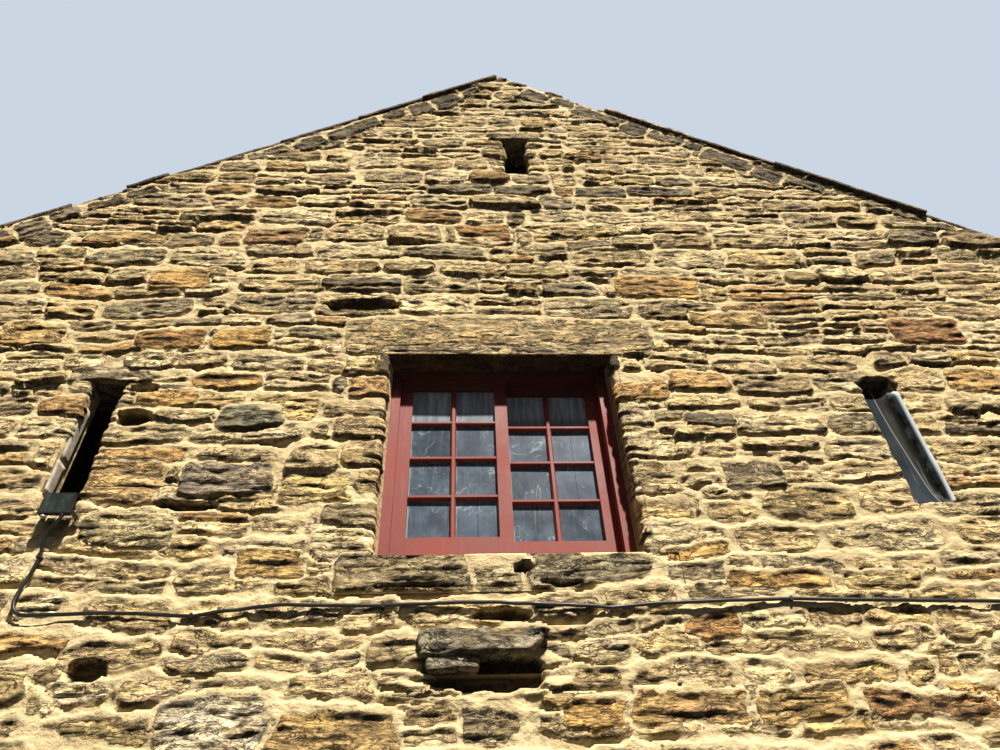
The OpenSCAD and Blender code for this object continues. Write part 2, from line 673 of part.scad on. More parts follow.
// Clips along the level run: each stands on the wall and holds the cable in a bore
module cable_clips() color("dimgray") at_front() for (i = clip_places) {
    low = cable_route[i];
    mid = (low + cable_route[i + 1]) / 2;
    rise = atan2(cable_route[i + 1][2] - low[2], cable_route[i + 1][0] - low[0]);
    side = cable_d + 2 * clip_t;
    translate([mid[0], 0, mid[2]]) rotate([0, -rise, 0]) difference() {
        translate([-clip_w / 2, -mid[1] - side / 2, -side / 2]) cube([clip_w, mid[1] + side / 2, side]);
        translate([-clip_w, -mid[1], 0]) rotate([0, 90, 0])
            cylinder(h = 2 * clip_w, d = cable_d, $fn = 40);
    }
}

module back_window_frame() color("firebrick") at_back() window_frame(gable_window_x, upper_window_z);
module back_window_sashes() color("firebrick") at_back() {
    left_sash(gable_window_x, upper_window_z);
    right_sash(gable_window_x, upper_window_z);
}
module back_window_glass() color("slategray") at_back() {
    left_pane(gable_window_x, upper_window_z);
    right_pane(gable_window_x, upper_window_z);
}
module back_dressings() color("darkkhaki") at_back() {
    stone_lintel(gable_window_x, upper_window_z + window_h, window_w, lintel_h);
    stone_sill(gable_window_x, upper_window_z);
    for (side = [-1, 1]) slit_head(gable_window_x + side * slit_spread);
    vent_head();
}

module side_window_frames() for (p = side_windows) window_frame(p[0], p[1]);
module side_window_sashes() for (p = side_windows) {
    left_sash(p[0], p[1]);
    right_sash(p[0], p[1]);
}
module side_window_glass() for (p = side_windows) {
    left_pane(p[0], p[1]);
    right_pane(p[0], p[1]);
}
module side_window_dressings() for (p = side_windows) {
    stone_lintel(p[0], p[1] + window_h, window_w, lintel_h);
    stone_sill(p[0], p[1]);
}
module left_window_frames() color("firebrick") at_left() side_window_frames();
module left_window_sashes() color("firebrick") at_left() side_window_sashes();
module left_window_glass() color("slategray") at_left() side_window_glass();
module left_dressings() color("darkkhaki") at_left() {
    side_window_dressings();
    stone_lintel(0, door_top, door_w, lintel_h);
}
module right_window_frames() color("firebrick") at_right() side_window_frames();
module right_window_sashes() color("firebrick") at_right() side_window_sashes();
module right_window_glass() color("slategray") at_right() side_window_glass();
module right_dressings() color("darkkhaki") at_right() side_window_dressings();

module timber_lintels() color("saddlebrown") {
    at_front() timber_lintel(gable_window_x, upper_window_z + window_h, window_w);
    at_back() timber_lintel(gable_window_x, upper_window_z + window_h, window_w);
    at_left() {
        for (p = side_windows) timber_lintel(p[0], p[1] + window_h, window_w);
        timber_lintel(0, door_top, door_w);
    }
    at_right() for (p = side_windows) timber_lintel(p[0], p[1] + window_h, window_w);
}

// Door frame with a stop that the boards close against
module door_frame() color("firebrick") at_left() difference() {
    clear_w = door_w - 2 * door_jamb_w;
    clear_h = door_top - flag_t - door_jamb_w;
    block(0, door_reveal, flag_t, door_w, door_frame_t, door_top - flag_t);
    block(0, door_reveal - cut, flag_t - cut, clear_w, door_gap + door_board_t + cut, clear_h + cut);
    block(0, door_reveal, flag_t - cut,
        clear_w - 2 * door_stop, door_frame_t + cut, clear_h - door_stop + cut);
}
// Boarded door with three ledges behind, standing shut in its frame
module door_leaf() color("firebrick") at_left() {
    leaf_z = flag_t + door_gap;
    block(0, door_reveal + door_gap, leaf_z, door_leaf_w, door_board_t, door_leaf_h);
    for (share = [0.06, 0.46, 0.86])
        block(0, door_reveal + door_gap + door_board_t, leaf_z + share * door_leaf_h,
            door_leaf_w - 3 * door_stop, door_ledge_t, door_ledge_h);
}
// Strap hinges over the leaf's lower and upper ledge, and a ring handle on a plate
module door_ironwork() color("dimgray") at_left() {
    face = door_reveal + door_gap;
    for (share = [0.06, 0.86]) {
        strap_z = flag_t + door_gap + share * door_leaf_h + (door_ledge_h - strap_h) / 2;
        block(-(door_leaf_w - strap_l) / 2, face - strap_t, strap_z, strap_l, strap_t, strap_h);
    }
    translate([door_leaf_w / 2 - handle_inset, face, handle_z]) rotate([90, 0, 0]) {
        cylinder(h = strap_t, d = handle_plate_d, $fn = 48);
        cylinder(h = handle_stem_l, d = handle_stem_d, $fn = 32);
        translate([0, -ring_d / 2, handle_stem_l - ring_t / 2])
            rotate_extrude($fn = 48) translate([ring_d / 2, 0]) circle(d = ring_t, $fn = 24);
    }
}
module door_threshold() color("gray") at_left()
    block(0, -dressing_reach, 0, door_w, wall_t + dressing_reach, flag_t);

front_gable_wall();
back_gable_wall();
left_side_wall();
right_side_wall();
ground_floor();
floor_beams();
floor_joists();
upper_floor();
wall_plates();
roof_trusses();
purlins();
ridge_beam();
rafters();
left_roof_slates();
right_roof_slates();
ridge_stones();
front_window_lintel();
front_window_sill();
front_window_frame();
front_window_left_sash();
front_window_right_sash();
front_window_left_glass();
front_window_right_glass();
front_head_stones();
right_slit_glass();
corbel_stone();
floodlight_housing();
floodlight_glass();
floodlight_bracket();
floodlight_cable();
cable_clips();
back_window_frame();
back_window_sashes();
back_window_glass();
back_dressings();
left_window_frames();
left_window_sashes();
left_window_glass();
left_dressings();
right_window_frames();
right_window_sashes();
right_window_glass();
right_dressings();
timber_lintels();
door_frame();
door_leaf();
door_ironwork();
door_threshold();
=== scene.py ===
import math
import bmesh
import bpy
import numpy as np
from mathutils import Matrix, Vector


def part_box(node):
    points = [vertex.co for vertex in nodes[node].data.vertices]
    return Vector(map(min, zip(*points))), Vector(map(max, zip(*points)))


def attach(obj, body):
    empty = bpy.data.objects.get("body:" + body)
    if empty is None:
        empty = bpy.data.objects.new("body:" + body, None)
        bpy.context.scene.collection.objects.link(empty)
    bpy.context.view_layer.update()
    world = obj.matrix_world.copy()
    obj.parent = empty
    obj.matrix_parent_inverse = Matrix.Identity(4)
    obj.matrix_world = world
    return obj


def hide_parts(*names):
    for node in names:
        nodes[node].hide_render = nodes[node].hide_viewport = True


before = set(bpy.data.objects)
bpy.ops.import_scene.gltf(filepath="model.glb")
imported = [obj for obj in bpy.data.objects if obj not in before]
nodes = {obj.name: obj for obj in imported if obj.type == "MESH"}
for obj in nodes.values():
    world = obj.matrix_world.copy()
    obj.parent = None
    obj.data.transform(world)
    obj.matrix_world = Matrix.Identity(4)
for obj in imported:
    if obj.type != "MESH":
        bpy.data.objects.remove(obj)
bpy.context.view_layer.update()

wallLow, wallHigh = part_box("front_gable_wall")
halfWidth = wallHigh.x
halfLength = -wallLow.y
wallThickness = wallHigh.y - wallLow.y
apexHeight = wallHigh.z
storeysHeight = 5.37
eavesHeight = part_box("left_side_wall")[0].z + storeysHeight
roofPitch = math.atan2(apexHeight - eavesHeight, halfWidth)


def boxOf(node):
    low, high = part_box(node)
    return np.array(low), np.array(high)


def addObject(name, data):
    made = bpy.data.objects.new(name, data)
    bpy.context.collection.objects.link(made)
    return made


# The camera stands close under the gable and looks up at it
cameraSet = {"lens": 27.04, "x": -0.345, "distance": 2.95, "eyeHeight": 1.6, "pitch": 43.735, "roll": -2.838,
             "yaw": -4.14}


def makeCamera(values):
    camera = addObject("photoCamera", bpy.data.cameras.new("photoCamera"))
    camera.data.sensor_width = 36.0
    camera.data.lens = values["lens"]
    camera.data.clip_start, camera.data.clip_end = 0.05, 200.0
    place = Matrix.Translation((values["x"], -halfLength - values["distance"], values["eyeHeight"]))
    for angle, axis in ((values["yaw"], "Z"), (90 + values["pitch"], "X"), (values["roll"], "Z")):
        place = place @ Matrix.Rotation(math.radians(angle), 4, axis)
    camera.matrix_world = place
    bpy.context.scene.camera = camera


makeCamera(cameraSet)
print("camera placed")


# Small helpers for materials and for Geometry Nodes

class Value:
    # a node's output that takes part in sums as a number does
    def __init__(self, maker, socket):
        self.maker, self.socket = maker, socket

    def __add__(self, other):
        return self.maker.math("ADD", self, other)

    def __sub__(self, other):
        return self.maker.math("SUBTRACT", self, other)

    def __rsub__(self, other):
        return self.maker.math("SUBTRACT", other, self)

    def __mul__(self, other):
        return self.maker.math("MULTIPLY", self, other)

    def __truediv__(self, other):
        return self.maker.math("DIVIDE", self, other)

    def __abs__(self):
        return self.maker.math("ABSOLUTE", self)

    __radd__, __rmul__ = __add__, __mul__


class NodeMaker:
    def __init__(self, tree):
        self.tree = tree

    def node(self, kind, inputs=None, output=0, **settings):
        made = self.tree.nodes.new(kind)
        for key, value in settings.items():
            setattr(made, key, value)
        for key, value in (inputs or {}).items():
            self.feed(made.inputs[key], value)
        return Value(self, made.outputs[output])

    def feed(self, socket, value):
        if isinstance(value, Value):
            self.tree.links.new(value.socket, socket)
        elif socket.type == "RGBA":
            socket.default_value = (*value, 1.0)
        else:
            socket.default_value = value

    def math(self, operation, first, second=0.0, clamp=False):
        return self.node("ShaderNodeMath", {0: first, 1: second}, operation=operation, use_clamp=clamp)

    def axes(self, vector):
        split = self.node("ShaderNodeSeparateXYZ", {0: vector}).socket.node
        return [Value(self, socket) for socket in split.outputs]


lightSet = {
    "key": {"strength": 9.2, "angle": 2.0, "from": (0.195, -0.527, 0.827), "color": (1.0, 0.93, 0.82)},
    "rim": {"strength": 3.6, "angle": 20.0, "from": (-0.66, 0.56, 0.50), "color": (1.0, 0.97, 0.93)},
    "fill": {"strength": 2.6, "angle": 25.0, "from": (0.84, 0.30, 0.45), "color": (0.95, 0.97, 1.0)},
}
studioSet = {"skyStrength": 0.13, "groundStrength": 0.045, "sky": (0.86, 0.92, 1.0),
             "backdrop": (0.60, 0.67, 0.77), "floor": (0.25, 0.247, 0.24)}


def makeSun(name, values):
    light = addObject(name + "Light", bpy.data.lights.new(name + "Light", "SUN"))
    light.data.energy = values["strength"]
    light.data.angle = math.radians(values["angle"])
    light.data.color = values["color"]
    light.rotation_mode = "QUATERNION"
    light.rotation_quaternion = Vector(values["from"]).to_track_quat("Z", "Y")


def makeWorld(values):
    world = bpy.data.worlds.new("studioSky")
    world.use_nodes = True
    maker = NodeMaker(world.node_tree)
    # less light comes from the ground's side
    height = maker.axes(maker.node("ShaderNodeTexCoord", output="Generated"))[2]
    strength = maker.node("ShaderNodeMapRange", {"Value": height, "From Min": -0.2, "From Max": 0.3,
                                                 "To Min": values["groundStrength"],
                                                 "To Max": values["skyStrength"]})
    light = maker.node("ShaderNodeBackground", {"Color": values["sky"], "Strength": strength})
    # the backdrop seen behind the building is paler than the light it gives
    backdrop = maker.node("ShaderNodeBackground", {"Color": values["backdrop"]})
    seen = maker.node("ShaderNodeLightPath", output="Is Camera Ray")
    choice = maker.node("ShaderNodeMixShader", {0: seen, 1: light, 2: backdrop})
    maker.feed(world.node_tree.nodes["World Output"].inputs["Surface"], choice)
    bpy.context.scene.world = world
    bpy.context.scene.view_settings.view_transform = "Standard"


for lightName, lightValues in lightSet.items():
    makeSun(lightName, lightValues)
makeWorld(studioSet)


class Shader(NodeMaker):
    def __init__(self, name):
        self.material = bpy.data.materials.new(name)
        self.material.use_nodes = True
        super().__init__(self.material.node_tree)
        self.coordinates = self.node("ShaderNodeTexCoord", output="Object")

    def noise(self, scale, stretch=(1, 1, 1), detail=4.0, roughness=0.6, warp=0.0):
        place = self.node("ShaderNodeMapping", {"Vector": self.coordinates, "Scale": stretch})
        return self.node("ShaderNodeTexNoise", {"Vector": place, "Scale": scale, "Detail": detail,
                                                "Roughness": roughness, "Distortion": warp})

    def attribute(self, name, output="Fac"):
        return self.node("ShaderNodeAttribute", output=output, attribute_name=name)

    def ramp(self, value, low, high, first=0.0, last=1.0):
        return self.node("ShaderNodeMapRange", {"Value": value, "From Min": low, "From Max": high,
                                                "To Min": first, "To Max": last},
                         interpolation_type="SMOOTHSTEP")

    def mix(self, amount, first, second, mode="MIX"):
        return self.node("ShaderNodeMix", {"Factor": amount, "A": first, "B": second}, "Result",
                         data_type="RGBA", blend_type=mode)

    def shade(self, color, amount):
        gray = self.node("ShaderNodeCombineColor", {"Red": amount, "Green": amount, "Blue": amount})
        return self.mix(1.0, color, gray, "MULTIPLY")

    def finish(self, color, roughness, bump=None, strength=0.5, distance=0.01, specular=0.5, metallic=0.0,
               alpha=1.0):
        values = {"Base Color": color, "Roughness": roughness, "Specular IOR Level": specular,
                  "Metallic": metallic, "Alpha": alpha}
        if bump:
            values["Normal"] = self.node("ShaderNodeBump",
                                         {"Height": bump, "Strength": strength, "Distance": distance})
        for key, value in values.items():
            self.feed(self.tree.nodes["Principled BSDF"].inputs[key], value)
        return self.material

    def finishStone(self, color, relief, roughness=0.92):
        # the relief is in metres
        return self.finish(color, roughness, relief, 1.0, 1.0, 0.2)


def beddedStone(shader, base):
    # thin beds, cracks that follow them, grain and stains; gives the colour and the relief in metres
    beds = shader.noise(11.0, (0.50, 0.50, 2.1), 7.0, 0.70, 0.7)
    fineBeds = shader.noise(30.0, (0.62, 0.62, 1.6), 6.0, 0.72, 0.8)
    crackLines = shader.noise(10.0, (0.60, 0.60, 1.9), 7.0, 0.70, 1.2)
    crackPlaces = shader.noise(5.0, (1, 1, 1.6), 3.0, 0.55)
    grain = shader.noise(150.0, (1, 1, 1), 3.0, 0.65)
    flakes = shader.noise(42.0, (0.75, 0.75, 1.3), 5.0, 0.74, 0.6)
    blotch = shader.noise(8.0, (0.6, 0.6, 1.5), 8.0, 0.76, 0.5)
    stain = shader.noise(3.1, (1, 1, 1.8), 5.0, 0.62, 0.4)
    crack = shader.ramp(abs(crackLines - 0.5), 0.034, 0.004) * shader.ramp(crackPlaces, 0.38, 0.50)
    pits = shader.ramp(fineBeds, 0.435, 0.345)
    color = shader.shade(base, shader.ramp(beds, 0.32, 0.66, 0.70, 1.42))
    color = shader.shade(color, shader.ramp(fineBeds, 0.34, 0.64, 0.64, 1.36))
    color = shader.shade(color, shader.ramp(grain, 0.28, 0.72, 0.84, 1.20))
    color = shader.shade(color, shader.ramp(flakes, 0.36, 0.60, 0.70, 1.34))
    color = shader.mix(shader.ramp(stain, 0.56, 0.68, 0.0, 0.42), color, (0.56, 0.33, 0.10))
    color = shader.mix(shader.ramp(blotch, 0.52, 0.58, 0.0, 0.50), color, (0.185, 0.135, 0.070))
    color = shader.mix(shader.math("MAXIMUM", crack * 0.94, pits * 0.82), color, (0.022, 0.016, 0.009))
    return color, beds * 0.030 + fineBeds * 0.019 + flakes * 0.0125 + grain * 0.0022 - crack * 0.008


def limeMortar(shader):
    sand = shader.noise(110.0, (1, 1, 1), 4.0, 0.7)
    lumps = shader.noise(15.0, (1, 1, 1.3))
    patch = shader.noise(2.6)
    color = shader.mix(shader.ramp(patch, 0.36, 0.66), (0.71, 0.57, 0.325), (0.585, 0.455, 0.25))
    color = shader.shade(color, shader.ramp(sand, 0.25, 0.75, 0.84, 1.10))
    color = shader.shade(color, shader.ramp(lumps, 0.30, 0.70, 0.80, 1.08))
    return color, lumps * 0.016 + sand * 0.0024


def undersideShadeAndSoot(shader, color, depth=0.5):
    # faces that look down are darkened: painted shade, with some soot and damp
    down = shader.axes(shader.node("ShaderNodeNewGeometry", output="Normal"))[2]
    return shader.mix(shader.ramp(down, -0.25, -0.80, 0.0, depth), color, (0.018, 0.013, 0.008))


def makeRubbleMaterial():
    shader = Shader("coursedRubble")
    stone, stoneRelief = beddedStone(shader, shader.attribute("stoneColor", "Color"))
    mortar, mortarRelief = limeMortar(shader)
    crumble = shader.noise(24.0, (1, 1, 1.6), 6.0, 0.66)
    ragged = shader.attribute("edge") + shader.ramp(crumble, 0.22, 0.78, -0.009, 0.009)
    isStone = shader.ramp(ragged, -0.0005, 0.0030)
    # the cavity attribute darkens overhangs, washed-out joints and hollows: painted shade, with some soot
    soot = shader.ramp(shader.attribute("cavity"), 0.12, 0.80, 0.0, 0.90)
    color = shader.mix(soot, shader.mix(isStone, mortar, stone), (0.022, 0.016, 0.010))
    stoneRelief = stoneRelief + shader.ramp(ragged, -0.001, 0.010, 0.0, 0.008)
    return shader.finishStone(undersideShadeAndSoot(shader, color, 0.6), shader.mix(isStone, mortarRelief, stoneRelief))


def makeStoneMaterial(name, base):
    shader = Shader(name)
    return shader.finishStone(*beddedStone(shader, base))


def makeToneStoneMaterial():
    # each stone has its own colour
    shader = Shader("beddedStone")
    color, relief = beddedStone(shader, shader.attribute("stoneColor", "Color"))
    return shader.finishStone(undersideShadeAndSoot(shader, color), relief)


def makeMortarMaterial(name="limeMortar", soot=0.0):
    # darkens what lies deep in the front gable's holes: painted shade, with some soot
    shader = Shader(name)
    color, relief = limeMortar(shader)
    if soot:
        x, y, z = shader.axes(shader.coordinates)
        inside = wallThickness - halfLength
        deep = shader.ramp(y, 0.02 - halfLength, 0.12 - halfLength, 0.35, soot)
        deep = deep * shader.ramp(y, inside - 0.02, inside - 0.10)
        amidst = shader.ramp(abs(x), halfWidth - 0.30, halfWidth - 0.60)
        color = shader.mix(deep * amidst, color, (0.020, 0.015, 0.010))
    return shader.finishStone(undersideShadeAndSoot(shader, color), relief, 0.93)


def makeSlateMaterial():
    shader = Shader("stoneSlate")
    lichen = shader.noise(11.0, (1, 1, 1), 5.0, 0.65)
    flakes = shader.noise(40.0)
    cloud = shader.noise(1.9, (1, 1, 1), 3.0, 0.5)
    color = shader.mix(shader.ramp(cloud, 0.35, 0.65), (0.085, 0.078, 0.066), (0.15, 0.13, 0.105))
    color = shader.shade(color, shader.ramp(shader.attribute("pieceTone"), 0.0, 1.0, 0.72, 1.35))
    color = shader.shade(color, shader.ramp(flakes, 0.3, 0.7, 0.8, 1.2))
    color = shader.mix(shader.ramp(lichen, 0.60, 0.72, 0.0, 0.55), color, (0.34, 0.32, 0.23))
    return shader.finish(color, 0.85, flakes + lichen * 0.6, 0.5, 0.008, 0.3)


def makePaintMaterial():
    shader = Shader("fadedRedPaint")
    chalk = shader.noise(4.0)
    streak = shader.noise(30.0, (1, 1, 0.12))
    flake = shader.noise(70.0, (1, 1, 0.6), 4.0, 0.7)
    dirt = shader.noise(16.0, (1, 1, 1), 5.0, 0.7)
    color = shader.mix(shader.ramp(chalk, 0.3, 0.7), (0.172, 0.025, 0.018), (0.232, 0.039, 0.028))
    color = shader.mix(shader.ramp(streak, 0.52, 0.8, 0.0, 0.30), color, (0.33, 0.11, 0.085))
    color = shader.mix(shader.ramp(flake, 0.70, 0.76, 0.0, 0.6), color, (0.50, 0.38, 0.30))
    color = shader.mix(shader.ramp(dirt, 0.58, 0.78, 0.0, 0.45), color, (0.09, 0.03, 0.025))
    # the window is painted darker towards its top: painted shade under the lintel
    level = shader.axes(shader.coordinates)[2] + shader.ramp(dirt, 0.3, 0.7, -0.03, 0.03)
    top = float(boxOf("front_window_frame")[1][2])
    color = shader.mix(shader.ramp(level, top - 0.25, top - 0.09, 0.0, 0.90), color, (0.020, 0.006, 0.004))
    return shader.finish(color, shader.ramp(chalk, 0.3, 0.7, 0.50, 0.68), streak + flake * 0.5, 0.25, 0.003,
                         0.35)


def wisps(shader, scale, stretch, warp, width, places):
    # pale threads of cobweb and scratches, only in some places
    thread = shader.noise(scale, stretch, 2.0, 0.5, warp)
    where = shader.ramp(shader.noise(places, (1, 1, 1), 3.0), 0.54, 0.66)
    return shader.ramp(abs(thread - 0.5), width, 0.0) * where


def makePaneMaterial():
    # old panes under a grey film; each has its own tone, a pale rim of putty and one thin dark line
    shader = Shader("dustyWindowGlass")
    across, up, own = (shader.attribute(name) for name in ("paneU", "paneV", "paneTone"))
    film = shader.noise(7.0, warp=0.4)
    fine = shader.noise(60.0, (1, 1, 0.12), 4.0, 0.7)
    wave = shader.noise(5.0, (1, 1, 1), 2.0, 0.5, 0.5)
    streaks = shader.noise(26.0, (1, 1, 0.09), 4.0, 0.7)
    amount = shader.ramp(film, 0.30, 0.72, 0.22, 0.78) + shader.ramp(own, 0.0, 1.0, -0.16, 0.18)
    amount = shader.math("ADD", amount, shader.ramp(fine, 0.3, 0.7, -0.07, 0.07), True)
    color = shader.mix(amount, (0.021, 0.032, 0.049), (0.124, 0.164, 0.220))
    threads = shader.math("MAXIMUM", wisps(shader, 6.0, (1, 1, 1.3), 1.0, 0.022, 5.0),
                          wisps(shader, 11.0, (1.1, 1.1, 0.55), 1.6, 0.026, 7.0))
    color = shader.mix(threads * 0.55, color, (0.45, 0.52, 0.58))
    runs = shader.ramp(streaks, 0.54, 0.72) * shader.ramp(up, 0.2, 0.9)
    color = shader.mix(runs * 0.50, color, (0.33, 0.385, 0.44))
    inside = shader.math("MINIMUM", 0.5 - abs(across - 0.5), 0.5 - abs(up - 0.5))
    rim = shader.ramp(inside + shader.ramp(fine, 0.3, 0.7, -0.02, 0.02), 0.085, 0.055)
    color = shader.mix(rim * 0.55, color, (0.36, 0.39, 0.40))
    line = shader.ramp(abs(across - (own * 0.16 + 0.38)), 0.016, 0.006, 0.0, 0.55)
    color = shader.mix(line * shader.ramp(own, 0.66, 0.70), color, (0.012, 0.014, 0.016))
    # the top row is painted paler, less so towards the feet of its panes: dust with a painted reflection of
    # the sky
    dustAndReflection = shader.attribute("paneTop") * shader.ramp(streaks, 0.38, 0.66, 0.40, 0.95)
    color = shader.mix(dustAndReflection * shader.ramp(up, 0.16, 0.42, 0.36, 1.0), color, (0.62, 0.70, 0.76))
    return shader.finish(color, 0.22, wave, 0.12, 0.01, 0.45, alpha=0.96)


def makeSlitGlassMaterial():
    # a sheet set in the slit, weathered along its length
    shader = Shader("dirtySlitGlass")
    low, high = (side.tolist() for side in boxOf("right_slit_glass"))
    length = shader.noise(9.0, (1, 1, 0.10))
    grime = shader.noise(16.0, (1, 1, 0.5), 5.0, 0.7)
    streaks = shader.noise(30.0, (1, 1, 0.05), 3.0)
    x, y, z = shader.axes(shader.coordinates)
    across = x - (low[0] + high[0]) / 2
    # one long scratch parts the blue side from the brown one
    scratch = across - shader.ramp(z, high[2], low[2], 0.002, 0.040)
    blue = shader.mix(shader.ramp(length, 0.35, 0.66), (0.003, 0.006, 0.011), (0.010, 0.018, 0.027))
    brown = shader.mix(shader.ramp(length, 0.38, 0.62), (0.005, 0.0055, 0.004), (0.017, 0.017, 0.013))
    color = shader.mix(shader.ramp(scratch, -0.006, 0.008), blue, brown)
    color = shader.mix(shader.ramp(grime, 0.50, 0.66, 0.0, 0.60), color, (0.034, 0.029, 0.017))
    color = shader.mix(shader.ramp(streaks, 0.62, 0.72, 0.0, 0.45), color, (0.20, 0.23, 0.24))
    color = shader.mix(shader.ramp(abs(scratch), 0.005, 0.001, 0.0, 0.55), color, (0.30, 0.33, 0.34))
    rim = abs(across) + shader.ramp(grime, 0.3, 0.7, -0.008, 0.008)
    color = shader.mix(shader.ramp(rim, 0.070, 0.088, 0.0, 0.85), color, (0.30, 0.36, 0.40))
    edge = (high[0] - low[0]) / 2
    color = shader.mix(shader.ramp(abs(across), edge - 0.010, edge - 0.005, 0.0, 0.85), color,
                       (0.50, 0.56, 0.58))
    return shader.finish(color, 0.62, length, 0.3, 0.006, 0.07, alpha=0.97)


def makeLensMaterial():
    shader = Shader("lampGlass")
    smear = shader.noise(22.0, (1, 1, 0.4))
    color = shader.mix(shader.ramp(smear, 0.35, 0.7), (0.018, 0.026, 0.024), (0.065, 0.080, 0.070))
    return shader.finish(color, 0.16, smear, 0.1, 0.002, 0.6)


def makeWoodMaterial(name, first, second):
    shader = Shader(name)
    grainLines = shader.noise(26.0, (1, 1, 1), 5.0, 0.6, 0.8)
    tone = shader.noise(1.6, (1, 1, 1), 3.0, 0.5)
    color = shader.mix(shader.ramp(grainLines, 0.3, 0.7), first, second)
    color = shader.shade(color, shader.ramp(tone, 0.3, 0.7, 0.75, 1.15))
    return shader.finish(color, 0.75, grainLines, 0.4, 0.006)


def makeFlagMaterial():
    shader = Shader("wornFlagstone")
    slabs = shader.node("ShaderNodeTexBrick", {
        "Vector": shader.coordinates, "Color1": (0.33, 0.30, 0.25), "Color2": (0.25, 0.23, 0.20),
        "Mortar": (0.12, 0.10, 0.08), "Scale": 1.0, "Mortar Size": 0.012, "Brick Width": 0.9,
        "Row Height": 0.6})
    joints = Value(shader, slabs.socket.node.outputs["Fac"])
    wear = shader.noise(7.0, (1, 1, 1), 5.0)
    color = shader.shade(slabs, shader.ramp(wear, 0.3, 0.7, 0.75, 1.2))
    return shader.finish(color, 0.8, wear * 0.3 - joints, 0.5, 0.01)


def makeMetalMaterial(name, color, roughness, metallic=0.0):
    shader = Shader(name)
    fine = shader.noise(220.0, (1, 1, 1), 3.0)
    dust = shader.noise(12.0)
    tone = shader.mix(shader.ramp(dust, 0.58, 0.8, 0.0, 0.22), color, (0.16, 0.14, 0.11))
    worn = shader.ramp(dust, 0.3, 0.7, roughness, roughness + 0.2)
    return shader.finish(tone, worn, fine, 0.15, 0.002, 0.3, metallic)


rubbleMaterial = makeRubbleMaterial()
toneStoneMaterial = makeToneStoneMaterial()
mortarMaterial = makeMortarMaterial()
coreMaterial = makeMortarMaterial("sootyCore", 0.94)
tanStoneMaterial = makeStoneMaterial("tanStone", (0.42, 0.33, 0.18))
darkStoneMaterial = makeStoneMaterial("darkStone", (0.17, 0.15, 0.11))
slateMaterial = makeSlateMaterial()
paintMaterial = makePaintMaterial()
windowGlassMaterial = makePaneMaterial()
slitGlassMaterial = makeSlitGlassMaterial()
lensMaterial = makeLensMaterial()
oakMaterial = makeWoodMaterial("oldOak", (0.10, 0.065, 0.038), (0.21, 0.145, 0.09))
pineMaterial = makeWoodMaterial("sawnPine", (0.20, 0.13, 0.07), (0.36, 0.26, 0.15))
greyBoardMaterial = makeWoodMaterial("greyBoard", (0.30, 0.26, 0.20), (0.52, 0.47, 0.38))
flagMaterial = makeFlagMaterial()
blackMetalMaterial = makeMetalMaterial("blackCoat", (0.009, 0.009, 0.010), 0.42)
ironMaterial = makeMetalMaterial("blackIron", (0.03, 0.03, 0.03), 0.5, 0.6)
cableMaterial = makeMetalMaterial("cableSheath", (0.012, 0.012, 0.013), 0.30)
glandMaterial = makeMetalMaterial("paleGland", (0.50, 0.50, 0.48), 0.45)
print("materials made")


# Coursed rubble. The stones of all four walls are laid in one unrolled strip: s runs round the
# building from the left end of the front gable, and z is the height.

wallRuns = []
runStart = 0.0
for runName, runTurn, half, away in (("front", 0.0, halfWidth, halfLength),
                                     ("right", 90.0, halfLength, halfWidth),
                                     ("back", 180.0, halfWidth, halfLength),
                                     ("left", -90.0, halfLength, halfWidth)):
    wallRuns.append({"name": runName, "turn": runTurn, "half": half, "away": away, "middle": runStart + half})
    runStart += 2 * half
frontRun, rightRun, backRun, leftRun = wallRuns
frontMiddle = frontRun["middle"]


def latticeNoise(x, z, cellX, cellZ, seed):
    table = np.random.default_rng(seed).random((128, 128)) * 2 - 1
    u, v = np.asarray(x) / cellX, np.asarray(z) / cellZ
    iu, iv = np.floor(u).astype(int), np.floor(v).astype(int)
    fu, fv = u - iu, v - iv
    fu, fv = fu * fu * (3 - 2 * fu), fv * fv * (3 - 2 * fv)
    a, b = table[iu % 128, iv % 128], table[(iu + 1) % 128, iv % 128]
    c, d = table[iu % 128, (iv + 1) % 128], table[(iu + 1) % 128, (iv + 1) % 128]
    return (a + (b - a) * fu) * (1 - fv) + (c + (d - c) * fu) * fv


def smooth(value, low, high):
    t = np.clip((value - low) / (high - low), 0.0, 1.0)
    return t * t * (3 - 2 * t)


rubbleSet = {
    "seed": 11, "joint": 0.016, "wobble": 0.016, "arris": 0.020, "cornerRounding": 0.030,
    "mortarLow": 0.001, "mortarRise": 0.011, "sharpEdge": 0.007, "softEdge": 0.016, "smear": 0.011,
    "ledge": 0.0075, "frontColumn": 0.0130, "frontRow": 0.0082, "lowStep": 0.024, "wideJoint": 0.024,
}
# sandstone colours, and how often each comes
stoneTones = [
    ((0.67, 0.50, 0.255), 5.0), ((0.57, 0.425, 0.21), 5.0), ((0.72, 0.57, 0.32), 4.5),
    ((0.50, 0.39, 0.21), 3.0), ((0.38, 0.305, 0.175), 1.6), ((0.65, 0.46, 0.20), 1.4),
    ((0.54, 0.335, 0.135), 1.1), ((0.26, 0.21, 0.125), 0.6),
]


def pickTone(random):
    weights = np.array([weight for tone, weight in stoneTones])
    choice = random.choice(len(stoneTones), p=weights / weights.sum())
    return np.array(stoneTones[choice][0]) * random.uniform(0.8, 1.22)


